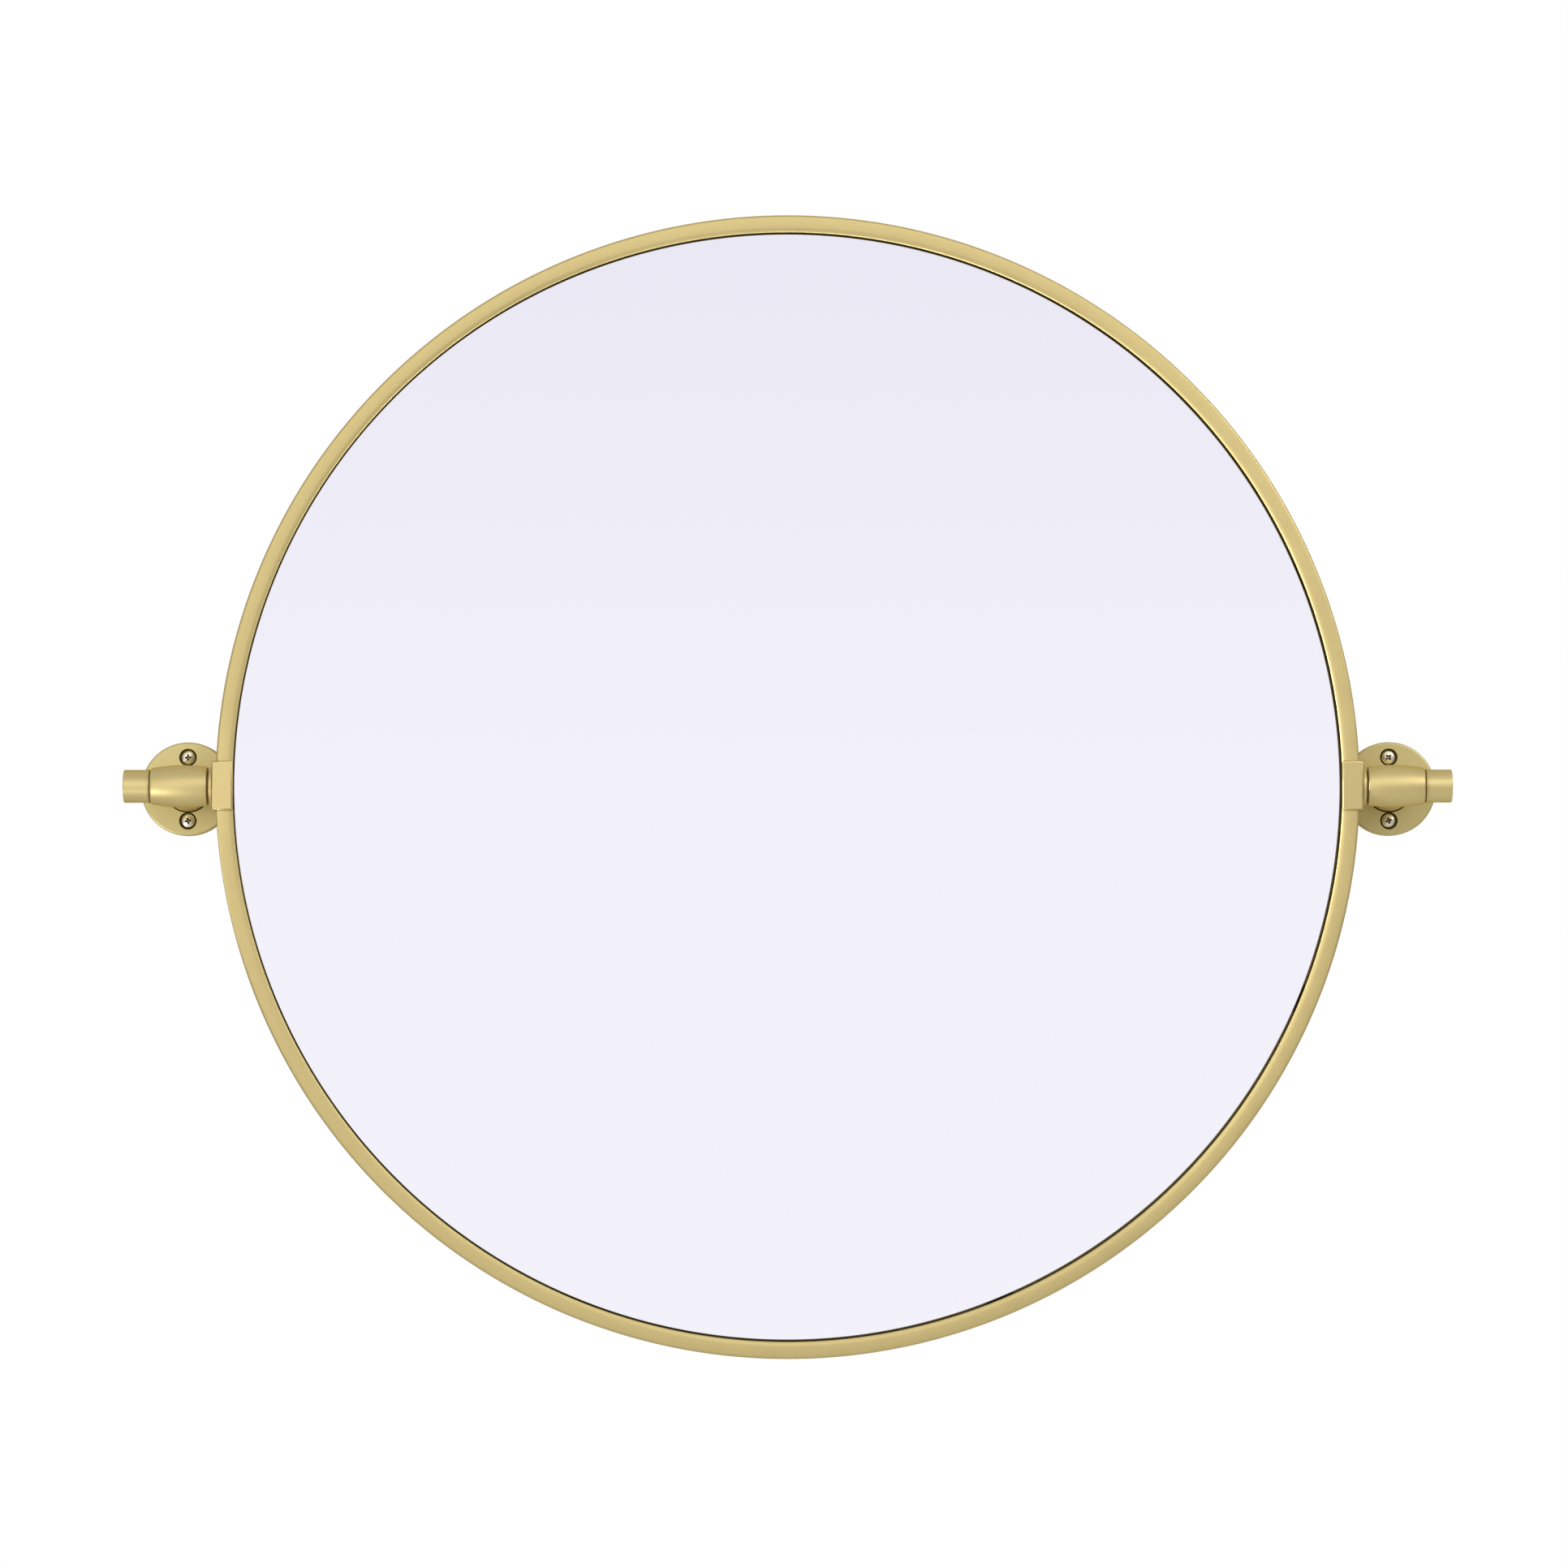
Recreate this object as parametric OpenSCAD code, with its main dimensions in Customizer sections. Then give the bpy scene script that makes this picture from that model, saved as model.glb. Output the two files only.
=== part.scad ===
// Pivot wall mirror: a round framed mirror that tilts on two wall brackets.
// Millimetres. The wall is the plane y = 0, the room lies towards -Y, +X is right and +Z is up.
// The origin lies on the wall in the middle of the four wall screws, level with the pivot axis.

/* [Frame ring] */
// Outer diameter of the frame ring
frame_d = 610; // [400:1:900]
// Width of the ring's front face
frame_face = 9.3; // [8:0.1:14]
// Depth of the ring from front to back
frame_depth = 20; // [17:0.5:30]
// Radius of the ring's outer edges
frame_round = 1.4; // [0.6:0.1:2.5]
// Radius of the slight crown across the ring's front face
frame_crown = 40; // [30:1:200]
// Radius of the wide curve from that crown down to the inner lip
lip_sweep = 6; // [3:0.5:8]
// Slope at which that curve meets the lip, in degrees
lip_slope = 25; // [15:1:35]
// Radius of the ring's inner front lip
frame_lip = 0.9; // [0.3:0.1:1.5]

/* [Glass and backing] */
// Thickness of the mirror glass
glass_t = 4; // [3:0.5:6]
// How far the glass lies behind the ring's face
glass_recess = 1; // [0.5:0.1:2.5]
// Mean gap between the glass edge and the ring
glass_gap = 0.6; // [0.6:0.1:2]
// How far left of the middle the glass is bonded
glass_off = 0.4; // [0:0.1:0.5]
// Radius of the pencil-ground glass edge
glass_edge = 0.5; // [0.3:0.1:1.8]
// Thickness of the protective film on the silvering
film_t = 0.4; // [0.2:0.1:0.8]
// How far the film ends inside the glass edge
film_inset = 1; // [0.5:0.1:3]
// Thickness of the bonding tape
tape_t = 1.6; // [0.8:0.1:3]
// Width of a strip of tape
tape_w = 25; // [15:1:40]
// Distance from one strip of tape to the next
tape_pitch = 110; // [60:5:160]
// How far the strips of tape end inside the film's edge
tape_margin = 25; // [10:1:50]
// Gap between the backing board and the ring
board_gap = 1; // [0.5:0.1:3]
// Depth behind the board for the lugs and their screws
rear_clear = 4; // [3.8:0.1:7]

/* [Backing lugs] */
// Number of lugs round the ring
lug_count = 8; // [6:2:16]
// Thickness of the lug's metal
lug_t = 1.4; // [1:0.1:2]
// How far a lug reaches over the board
lug_reach = 14; // [10:0.5:24]
// Width of a lug along the ring
lug_w = 16; // [10:0.5:24]
// How far a lug ends inside the ring's back edge
lug_set = 0.5; // [0.2:0.1:1]
// Diameter of the lug screws
lug_screw_d = 3.5; // [2.5:0.1:5]
// Diameter of the lug screws' heads
lug_head_d = 6.8; // [5.5:0.1:9]
// Height of the lug screws' heads
lug_head_h = 1.8; // [1:0.1:2.4]
// Board left in front of a lug screw's tip
lug_screw_stop = 2.5; // [1:0.1:4]

/* [Side blocks] */
// Height of a side block
block_h = 26.4; // [22:0.2:40]
// Metal of a block outside the ring, at the pivot
block_web = 2; // [1.6:0.1:5]
// Thickness of a block's cheeks in front of the ring and behind it
block_cheek = 1.6; // [1.2:0.1:3]
// How far the cheeks reach inside the ring's inner edge
block_lap = 0.2; // [0:0.1:1]
// Radius of a block's edges
block_round = 1.2; // [0.3:0.1:1.3]
// Diameter of the two block screws
block_screw_d = 3; // [2:0.1:3.5]
// Diameter of a block screw's countersunk head
block_head_d = 5.4; // [4:0.1:6]
// Length of a block screw in the ring
block_screw_l = 7; // [4:0.5:12]
// Distance from a block's end to its screw
block_screw_edge = 4.7; // [4:0.1:6]

/* [Pivot] */
// Distance of the pivot axis from the wall
standoff = 60; // [50:1:90]
// Diameter of the shaft's journal
shaft_d = 8; // [7:0.5:10]
// Diameter of the shaft's threaded ends
thread_d = 6; // [4:0.5:6]
// Ring metal left under the threaded bore
thread_floor = 1.2; // [0.8:0.1:3]
// Diameter of the collar
collar_d = 20.6; // [16:0.2:26]
// Length of the collar
collar_l = 1.9; // [1.4:0.1:6]
// Radius of the collar's edges
collar_round = 0.6; // [0.2:0.1:0.7]
// Diameter of the friction washer
friction_d = 17; // [14:0.2:20]
// Thickness of the friction washer
friction_t = 1; // [0.5:0.1:2]

/* [Knuckles] */
// Largest diameter of the barrel
barrel_d = 22.6; // [21:0.2:30]
// Length of the barrel
barrel_l = 30.6; // [26:0.2:45]
// Radius of the barrel's curve along its length
barrel_curve = 93; // [80:1:400]
// Distance of the barrel's widest place from its inner end
barrel_widest = 12.8; // [10:0.2:18]
// Radius of the barrel's outer shoulder
barrel_shoulder = 1.6; // [0.5:0.1:2.5]
// Radius of the barrel's inner edge
barrel_edge = 0.6; // [0.2:0.1:1.2]
// Wall of the bushes
bush_wall = 1.5; // [1:0.1:2]
// Length of a bush
bush_l = 10; // [6:0.5:12]
// Diameter of the post where it stands on the plate
post_d = 24.2; // [18:0.2:27]
// Diameter the post would have at the pivot axis, inside the barrel
post_top_d = 21; // [16:0.2:22]
// Chamfer round the post's foot
post_foot = 0.4; // [0.2:0.1:1]
// How far outside the barrel's middle the post stands
post_shift = 0.6; // [0:0.1:1.2]

/* [Wall plates] */
// Diameter of a wall plate
plate_d = 50.8; // [48:0.2:70]
// Thickness of a wall plate
plate_t = 6; // [5.6:0.1:10]
// Radius of the plate's front edge
plate_round = 1.1; // [0.4:0.1:2]
// Diameter of the mouth of the recess for a wall screw's head
recess_d = 9.6; // [9.2:0.1:10.6]
// Chamfer round that mouth
recess_chamfer = 0.6; // [0.2:0.1:0.7]
// Depth of that recess
recess_depth = 3.6; // [3.2:0.1:4]
// Metal between a recess and the post
recess_margin = 0.3; // [0.2:0.1:1]
// Diameter of the post screw behind the plate
post_screw_d = 6; // [4:0.5:8]
// Diameter of the post screw's countersunk head
post_head_d = 11.4; // [9:0.2:12]
// Length of the post screw in the post
post_screw_l = 16; // [8:0.5:24]
// Width across the flats of the post screw's socket
post_socket = 4; // [3:0.5:5]
// Depth of the post screw's socket
post_socket_depth = 2; // [1:0.1:3]

/* [Wall screws] */
// Diameter of a wall screw's thread in the wall
screw_thread_d = 4; // [3:0.1:4.4]
// Diameter of a wall screw's neck in the plate
screw_neck_d = 4.6; // [3.4:0.1:5]
// Diameter of a wall screw's head
screw_head_d = 7.3; // [6.4:0.1:7.6]
// Height of a wall screw's head
screw_head_h = 2.8; // [2:0.1:3.2]
// Length of a wall screw in the wall
screw_l = 30; // [15:1:60]
// Length of a wall screw's point
screw_point = 5; // [2:0.5:8]
// Clearance round a wall screw's neck
screw_clear = 0.3; // [0.2:0.1:0.8]
// Width of the cross recess
cross_w = 3.5; // [2.5:0.1:4.4]
// Width of the cross recess's arms
cross_arm = 0.9; // [0.6:0.1:1.2]
// Depth of the cross recess
cross_depth = 1.7; // [1:0.1:2]

/* [Tension knobs] */
// Diameter of a knob
knob_d = 17.6; // [14:0.2:24]
// Length of a knob
knob_l = 13.6; // [10:0.2:24]
// How much wider the bead at a knob's inner end is, all round
knob_bead = 0.2; // [0:0.1:0.6]
// Length of that bead
knob_bead_l = 0.8; // [0.4:0.1:2]
// Radius of a knob's outer edge
knob_edge = 0.5; // [0.3:0.1:2]
// Radius of the dome on a knob's end
knob_dome = 150; // [40:5:300]
// Metal between a knob's thread and its end
knob_floor = 2.6; // [1.5:0.1:4]
// Diameter of the spring washer
washer_d = 14; // [12:0.2:15]
// Thickness of the spring washer and of the thrust washer
washer_t = 0.4; // [0.3:0.1:1]
// Slit in the spring washer
washer_slit = 1.2; // [0.6:0.1:2]

/* [Clearances] */
// Gap all round a piece that is pressed, bonded or screwed in
seat_gap = 0.02; // [0.01:0.01:0.05]
// Gap all round a shaft or thread that turns
run_gap = 0.04; // [0.02:0.01:0.1]
// Gap all round a washer, a screw's neck or the ring in its block
easy_gap = 0.1; // [0.05:0.01:0.3]

/* [Hidden] */
$fn = 96;
// Steps of the large circles about the mirror's middle
large_fn = 256;

// How far a cutting solid runs past the face it cuts
over = 1;
LEFT = -1;
RIGHT = 1;

// Heights above the wall, measured towards the room
ring_front = standoff + frame_depth/2;
ring_back = standoff - frame_depth/2;
glass_front = ring_front - glass_recess;
glass_back = glass_front - glass_t;
film_back = glass_back - film_t;
board_front = film_back - tape_t;
board_back = ring_back + rear_clear;
board_t = board_front - board_back;
lug_back = board_back - lug_t;

// Radii about the mirror's middle
frame_r = frame_d/2;
ring_in_r = frame_r - frame_face;
ring_mid_r = frame_r - frame_face/2;
glass_r = ring_in_r - glass_gap;
film_r = glass_r - film_inset;
board_r = ring_in_r - board_gap;
tape_r = film_r - tape_margin;
lug_tip_r = ring_in_r - lug_reach;
lug_screw_r = ring_in_r - lug_reach/2;

// Centres of the arcs in the ring's profile, from the crown in to the lip and out to the edge
lip_reach = (lip_sweep - frame_lip)*[-sin(lip_slope), cos(lip_slope)];
crown_centre = [ring_mid_r, ring_front - frame_crown];
sweep_centre = nested(crown_centre, frame_crown - lip_sweep,
    ring_in_r + frame_lip - lip_reach.x);
lip_centre = sweep_centre + lip_reach;
edge_centre = nested(crown_centre, frame_crown - frame_round, frame_r - frame_round);

// Places along the pivot axis, measured out from the mirror's middle
block_in = ring_in_r - block_lap;
block_out = frame_r + block_web;
thread_bottom = ring_in_r + thread_floor;
collar_out = block_out + collar_l;
barrel_in = collar_out + friction_t;
barrel_out = barrel_in + barrel_l;
post_x = barrel_in + barrel_l/2 + post_shift;
knob_in = barrel_out + 2*washer_t;
knob_out = knob_in + knob_l;
knob_bore_end = knob_out - knob_floor;
journal_end = barrel_out - washer_t;
shaft_end = knob_bore_end - washer_t;
thread_tip = washer_t;

// Sizes that follow from the fits
bush_r = shaft_d/2 + run_gap + bush_wall;
block_screw_z = block_h/2 - block_screw_edge;
recess_floor = plate_t - recess_depth;
wall_screw_z = post_d/2 + recess_margin + recess_d/2;
screw_hole_d = screw_neck_d + 2*screw_clear;
tape_side = floor((tape_r - tape_w/2)/tape_pitch);
lug_angle = lug_w/ring_in_r*180/PI;

GOLD = [0.85, 0.76, 0.53];
STEEL = [0.72, 0.72, 0.70];
SILVER = [0.90, 0.90, 0.94];
NYLON = [0.30, 0.24, 0.16];
BRONZE = [0.66, 0.50, 0.30];
FILM = [0.45, 0.50, 0.56];
TAPE = [0.92, 0.92, 0.88];
BOARD = [0.13, 0.12, 0.11];

// Stands a shape on the wall: its x is right, its y is up and its z is the height above the wall.
module from_wall() {
    rotate([90, 0, 0])
        children();
}

// Turns a profile of [radius, height above the wall] about the mirror's middle.
module round_mirror() {
    from_wall()
        rotate_extrude($fn = large_fn)
            children();
}

// Turns a profile of [radius, place along the pivot axis] about the pivot axis.
module turned() {
    translate([0, -standoff, 0])
        rotate([0, 90, 0])
            rotate_extrude()
                children();
}

// Puts what is drawn for the right side on the side asked for.
module on_side(side) {
    if (side == LEFT)
        mirror([1, 0, 0])
            children();
    else
        children();
}

// The place at x above a circle's centre whose distance from that centre is given. A smaller
// circle about it touches the large one from inside when the distance is their radii's difference.
function nested(centre, distance, x) =
    [x, centre.y + sqrt(pow(distance, 2) - pow(x - centre.x, 2))];

// The same where the large circle lies to the left of its outline: the place at a given y.
function nested_right(centre, distance, y) =
    [centre.x + sqrt(pow(distance, 2) - pow(y - centre.y, 2)), y];

// The direction from one place to another, in degrees.
function heading(from, to) = atan2(to.y - from.y, to.x - from.x);

// What a rounding takes away between two directions: a wedge outside an arc about [0, 0].
module wedge_waste(r, from, to) {
    middle = (from + to)/2;
    reach = r + over;
    difference() {
        polygon([[0, 0], reach*[cos(from), sin(from)],
            reach/cos((to - from)/2)*[cos(middle), sin(middle)], reach*[cos(to), sin(to)]]);
        circle(r);
    }
}

// What rounds off an outer corner: the corner's own square outside an arc about [0, 0].
module corner_waste(r) {
    difference() {
        square(r + over);
        circle(r);
    }
}

// A tube's half profile from one place on the axis to another.
module tube_profile(r_in, r_out, from, to) {
    translate([r_in, from])
        square([r_out - r_in, to - from]);
}

// A box about the origin with all its edges rounded.
module eased_box(size, r) {
    intersection() {
        linear_extrude(size.z, center = true)
            eased_rectangle(size.x, size.y, r);
        rotate([90, 0, 0])
            linear_extrude(size.y, center = true)
                eased_rectangle(size.x, size.z, r);
        rotate([0, 90, 0])
            linear_extrude(size.x, center = true)
                eased_rectangle(size.z, size.y, r);
    }
}

module eased_rectangle(w, h, r) {
    difference() {
        square([w, h], center = true);
        for (turn = [0, 180])
            rotate(turn) {
                translate([w/2 - r, h/2 - r])
                    corner_waste(r);
                mirror([1, 0])
                    translate([w/2 - r, h/2 - r])
                        corner_waste(r);
            }
    }
}

// A Phillips recess that narrows with depth, its mouth at z = 0.
module cross_recess() {
    intersection() {
        union() {
            cube([cross_w, cross_arm, 2*cross_depth], center = true);
            cube([cross_arm, cross_w, 2*cross_depth], center = true);
        }
        translate([0, 0, -cross_depth])
            cylinder(h = 2*cross_depth, r1 = cross_arm/2, r2 = cross_w - cross_arm/2);
    }
}

// The places of the lugs round the ring.
module at_lugs() {
    for (i = [0 : lug_count - 1])
        rotate([0, 0, (i + 1/2)*360/lug_count])
            children();
}

// The places of the two screws of a side block, on its back.
module at_block_screws() {
    for (z = [-block_screw_z, block_screw_z])
        translate([ring_mid_r, z, 0])
            children();
}

// The places of the two wall screws of a plate.
module at_wall_screws() {
    for (z = [-wall_screw_z, wall_screw_z])
        translate([post_x, z, 0])
            children();
}

// The bar of the ring: a slight crown in front that sweeps down to the lip, and rounded edges.
module frame_profile() {
    difference() {
        intersection() {
            tube_profile(ring_in_r, frame_r, ring_back, ring_front);
            translate(crown_centre)
                circle(frame_crown);
        }
        translate(edge_centre)
            wedge_waste(frame_round, 0, heading(crown_centre, edge_centre));
        translate(sweep_centre)
            wedge_waste(lip_sweep, heading(crown_centre, sweep_centre), 90 + lip_slope);
        translate(lip_centre)
            wedge_waste(frame_lip, 90 + lip_slope, 180);
        translate([frame_r - frame_round, ring_back + frame_round])
            mirror([0, 1])
                corner_waste(frame_round);
    }
}

// The round frame: a rolled bar with tapped bores for the shafts and the block screws.
module frame_ring() {
    color(GOLD)
        difference() {
            round_mirror()
                frame_profile();
            for (side = [LEFT, RIGHT])
                on_side(side) {
                    turned()
                        tube_profile(0, thread_d/2 + seat_gap, thread_bottom, frame_r + over);
                    from_wall()
                        at_block_screws()
                            translate([0, 0, ring_back - over])
                                cylinder(h = block_screw_l + over + seat_gap,
                                    d = block_screw_d + 2*seat_gap);
                }
        }
}

// The silvered glass: a disc whose front edge is ground round.
module mirror_glass() {
    color(SILVER)
        translate([-glass_off, 0, 0])
            round_mirror()
                difference() {
                    tube_profile(0, glass_r, glass_back, glass_front);
                    translate([glass_r - glass_edge, glass_front - glass_edge])
                        corner_waste(glass_edge);
                }
}

// The film that protects the silvering and holds the glass together.
module silvering_film() {
    color(FILM)
        translate([-glass_off, 0, 0])
            round_mirror()
                tube_profile(0, film_r, film_back, glass_back);
}

// Upright strips of foam tape between the film and the backing board.
module bonding_tape() {
    color(TAPE)
        from_wall()
            for (i = [-tape_side : tape_side]) {
                reach = abs(i)*tape_pitch + tape_w/2;
                half = sqrt(tape_r*tape_r - reach*reach);
                translate([i*tape_pitch - tape_w/2 - glass_off, -half, board_front])
                    cube([tape_w, 2*half, tape_t]);
            }
}

// The board that carries the glass, with a pilot hole for each lug screw.
module backing_board() {
    color(BOARD)
        difference() {
            round_mirror()
                tube_profile(0, board_r, board_back, board_front);
            from_wall()
                at_lugs()
                    translate([lug_screw_r, 0, board_back - over])
                        cylinder(h = board_t - lug_screw_stop + over + seat_gap,
                            d = lug_screw_d + 2*seat_gap);
        }
}

// Angle lugs brazed to the ring's inner wall. Each has a foot under the board and a short leg.
module backing_lugs() {
    color(GOLD)
        from_wall()
            at_lugs()
                difference() {
                    rotate([0, 0, -lug_angle/2])
                        rotate_extrude(angle = lug_angle) {
                            tube_profile(lug_tip_r, ring_in_r - seat_gap, lug_back, board_back);
                            tube_profile(ring_in_r - seat_gap - lug_t, ring_in_r - seat_gap,
                                ring_back + lug_set, board_back);
                        }
                    translate([lug_screw_r, 0, lug_back - over])
                        cylinder(h = lug_t + 2*over, d = lug_screw_d + 2*easy_gap);
                }
}

// Pan-head screws through the lugs into the board.
module lug_screws() {
    color(STEEL)
        from_wall()
            at_lugs()
                translate([lug_screw_r, 0, lug_back]) {
                    cylinder(h = lug_t + board_t - lug_screw_stop, d = lug_screw_d);
                    difference() {
                        translate([0, 0, -lug_head_h])
                            cylinder(h = lug_head_h, d = lug_head_d);
                        translate([0, 0, -lug_head_h])
                            rotate([180, 0, 0])
                                scale(lug_head_h/screw_head_h)
                                    cross_recess();
                    }
                }
}

// The block that grips the ring from outside like a channel and carries the pivot shaft.
module side_block(side) {
    depth = frame_depth + 2*block_cheek;
    color(GOLD)
        on_side(side)
            difference() {
                translate([(block_in + block_out)/2, -standoff, 0])
                    eased_box([block_out - block_in, depth, block_h], block_round);
                round_mirror()
                    tube_profile(0, frame_r + easy_gap, ring_back, ring_front);
                turned()
                    tube_profile(0, thread_d/2 + easy_gap, frame_r - over, block_out + over);
                from_wall()
                    at_block_screws()
                        translate([0, 0, ring_back - block_cheek - over]) {
                            cylinder(h = block_cheek + 2*over, d = block_screw_d + 2*easy_gap);
                            cylinder(h = over + block_head_h() + easy_gap,
                                d1 = block_head_d + 2*(over + easy_gap), d2 = block_screw_d);
                        }
            }
}

// The height of a block screw's head, whose cone has a right angle.
function block_head_h() = (block_head_d - block_screw_d)/2;

// Two countersunk screws that lock a side block to the ring from behind.
module block_screws(side) {
    color(STEEL)
        on_side(side)
            from_wall()
                at_block_screws()
                    translate([0, 0, ring_back - block_cheek])
                        difference() {
                            union() {
                                cylinder(h = block_head_h(), d1 = block_head_d,
                                    d2 = block_screw_d);
                                cylinder(h = block_cheek + block_screw_l, d = block_screw_d);
                            }
                            rotate([180, 0, 0])
                                scale(block_head_d/screw_head_d/2)
                                    cross_recess();
                        }
}

// The pivot shaft: threaded into the ring, plain in the bushes, threaded again for the knob.
module pivot_shaft(side) {
    color(STEEL)
        on_side(side)
            turned() {
                tube_profile(0, thread_d/2, thread_bottom + thread_tip, block_out + over);
                tube_profile(0, shaft_d/2, block_out, journal_end);
                tube_profile(0, thread_d/2, journal_end - over, shaft_end - thread_tip);
                tube_profile(0, thread_d/2 - thread_tip, shaft_end - 2*thread_tip, shaft_end);
            }
}

// The collar between block and barrel: a thin ring with rounded edges.
module collar(side) {
    color(GOLD)
        on_side(side)
            turned()
                difference() {
                    tube_profile(shaft_d/2 + run_gap, collar_d/2, block_out, collar_out);
                    translate([collar_d/2 - collar_round, collar_out - collar_round])
                        corner_waste(collar_round);
                    translate([collar_d/2 - collar_round, block_out + collar_round])
                        mirror([0, 1])
                            corner_waste(collar_round);
                }
}

// The nylon washer whose grip holds the mirror at its angle.
module friction_washer(side) {
    color(NYLON)
        on_side(side)
            turned()
                tube_profile(shaft_d/2 + easy_gap, friction_d/2, collar_out, barrel_in);
}

// A bush for the shaft's journal.
module bush(side, from) {
    color(BRONZE)
        on_side(side)
            turned()
                tube_profile(shaft_d/2 + run_gap, bush_r, from, from + bush_l);
}

// The knuckle: a barrel along the pivot axis, cast in one with the post that stands on the plate.
module knuckle(side) {
    color(GOLD)
        on_side(side)
            difference() {
                union() {
                    turned()
                        barrel_profile();
                    from_wall()
                        translate([post_x, 0, plate_t + post_foot]) {
                            cylinder(h = standoff - plate_t - post_foot, d1 = post_d,
                                d2 = post_top_d);
                            mirror([0, 0, 1])
                                cylinder(h = post_foot, d1 = post_d, d2 = post_d - 2*post_foot);
                        }
                }
                turned() {
                    tube_profile(0, bush_r - bush_wall/2, barrel_in - over, barrel_out + over);
                    tube_profile(0, bush_r + seat_gap, barrel_in - over, barrel_in + bush_l);
                    tube_profile(0, bush_r + seat_gap, barrel_out - bush_l, barrel_out + over);
                }
                from_wall()
                    translate([post_x, 0, plate_t - over])
                        cylinder(h = post_screw_l + over + seat_gap, d = post_screw_d + 2*seat_gap);
            }
}

// Half of the barrel's outline: one long arc that runs into a round shoulder outside and into a
// soft edge inside.
module barrel_profile() {
    centre = [barrel_d/2 - barrel_curve, barrel_in + barrel_widest];
    outer = nested_right(centre, barrel_curve - barrel_shoulder, barrel_out - barrel_shoulder);
    inner = nested_right(centre, barrel_curve - barrel_edge, barrel_in + barrel_edge);
    difference() {
        intersection() {
            tube_profile(0, barrel_d, barrel_in, barrel_out);
            translate(centre)
                circle(barrel_curve);
        }
        translate(outer)
            wedge_waste(barrel_shoulder, heading(centre, outer), 90);
        translate(inner)
            wedge_waste(barrel_edge, -90, heading(centre, inner));
    }
}

// The countersunk socket screw that holds a post from behind its plate.
module post_screw(side) {
    head_h = (post_head_d - post_screw_d)/2;
    color(STEEL)
        on_side(side)
            from_wall()
                translate([post_x, 0, easy_gap])
                    difference() {
                        union() {
                            cylinder(h = head_h, d1 = post_head_d, d2 = post_screw_d);
                            cylinder(h = plate_t + post_screw_l - easy_gap, d = post_screw_d);
                        }
                        translate([0, 0, -over])
                            cylinder(h = post_socket_depth + over, d = post_socket/cos(30), $fn = 6);
                    }
}

// The round plate that lies against the wall, with a deep recess for each wall screw's head.
module wall_plate(side) {
    head_h = (post_head_d - post_screw_d)/2;
    color(GOLD)
        on_side(side)
            from_wall()
                difference() {
                    translate([post_x, 0, 0])
                        rotate_extrude()
                            difference() {
                                tube_profile(0, plate_d/2, 0, plate_t);
                                translate([plate_d/2 - plate_round, plate_t - plate_round])
                                    corner_waste(plate_round);
                            }
                    at_wall_screws() {
                        translate([0, 0, -over])
                            cylinder(h = plate_t + 2*over, d = screw_hole_d);
                        translate([0, 0, recess_floor])
                            cylinder(h = recess_depth + over, d = recess_d - 2*recess_chamfer);
                        translate([0, 0, plate_t - recess_chamfer])
                            cylinder(h = recess_chamfer + over, d1 = recess_d - 2*recess_chamfer,
                                d2 = recess_d + 2*over);
                    }
                    translate([post_x, 0, -over]) {
                        cylinder(h = plate_t + 2*over, d = post_screw_d + 2*easy_gap);
                        cylinder(h = over + head_h + 2*easy_gap,
                            d1 = post_head_d + 2*(over + 2*easy_gap), d2 = post_screw_d);
                    }
                }
}

// The two screws of a plate: domed heads with a cross recess, necks, threads and points.
module wall_screws(side) {
    dome_r = screw_head_d*3/4;
    color(STEEL)
        on_side(side)
            from_wall()
                at_wall_screws() {
                    difference() {
                        rotate_extrude()
                            intersection() {
                                tube_profile(0, screw_head_d/2, recess_floor,
                                    recess_floor + screw_head_h);
                                translate([0, recess_floor + screw_head_h - dome_r])
                                    circle(dome_r);
                            }
                        translate([0, 0, recess_floor + screw_head_h])
                            cross_recess();
                    }
                    cylinder(h = recess_floor, d = screw_neck_d);
                    translate([0, 0, -screw_l])
                        cylinder(h = screw_l, d = screw_thread_d);
                    translate([0, 0, -screw_l - screw_point])
                        cylinder(h = screw_point, d1 = 0, d2 = screw_thread_d);
                }
}

// The split washer that keeps the pivot under tension.
module spring_washer(side) {
    color(BRONZE)
        on_side(side)
            difference() {
                turned()
                    tube_profile(thread_d/2 + easy_gap, washer_d/2, barrel_out,
                        barrel_out + washer_t);
                translate([barrel_out - over, -standoff - washer_slit/2, 0])
                    cube([washer_t + 2*over, washer_slit, washer_d]);
            }
}

// The flat washer that the knob turns on, as wide as the knob's bead.
module thrust_washer(side) {
    color(GOLD)
        on_side(side)
            turned()
                tube_profile(thread_d/2 + easy_gap, knob_d/2 + knob_bead, barrel_out + washer_t,
                    knob_in);
}

// The tension knob: a plain turned knob with a bead at its inner end and a gently domed face.
module knob(side) {
    edge_r = knob_d/2;
    dome_drop = knob_dome - sqrt(pow(knob_dome, 2) - pow(edge_r - knob_edge, 2));
    color(GOLD)
        on_side(side)
            turned()
                difference() {
                    union() {
                        intersection() {
                            tube_profile(0, edge_r, knob_in, knob_out);
                            translate([0, knob_out - knob_dome])
                                circle(knob_dome);
                        }
                        tube_profile(0, edge_r + knob_bead, knob_in, knob_in + knob_bead_l);
                    }
                    translate([edge_r - knob_edge, knob_out - dome_drop - knob_edge])
                        corner_waste(knob_edge);
                    tube_profile(0, thread_d/2 + run_gap, knob_in - over, knob_bore_end);
                }
}

frame_ring();
mirror_glass();
silvering_film();
bonding_tape();
backing_board();
backing_lugs();
lug_screws();

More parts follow.
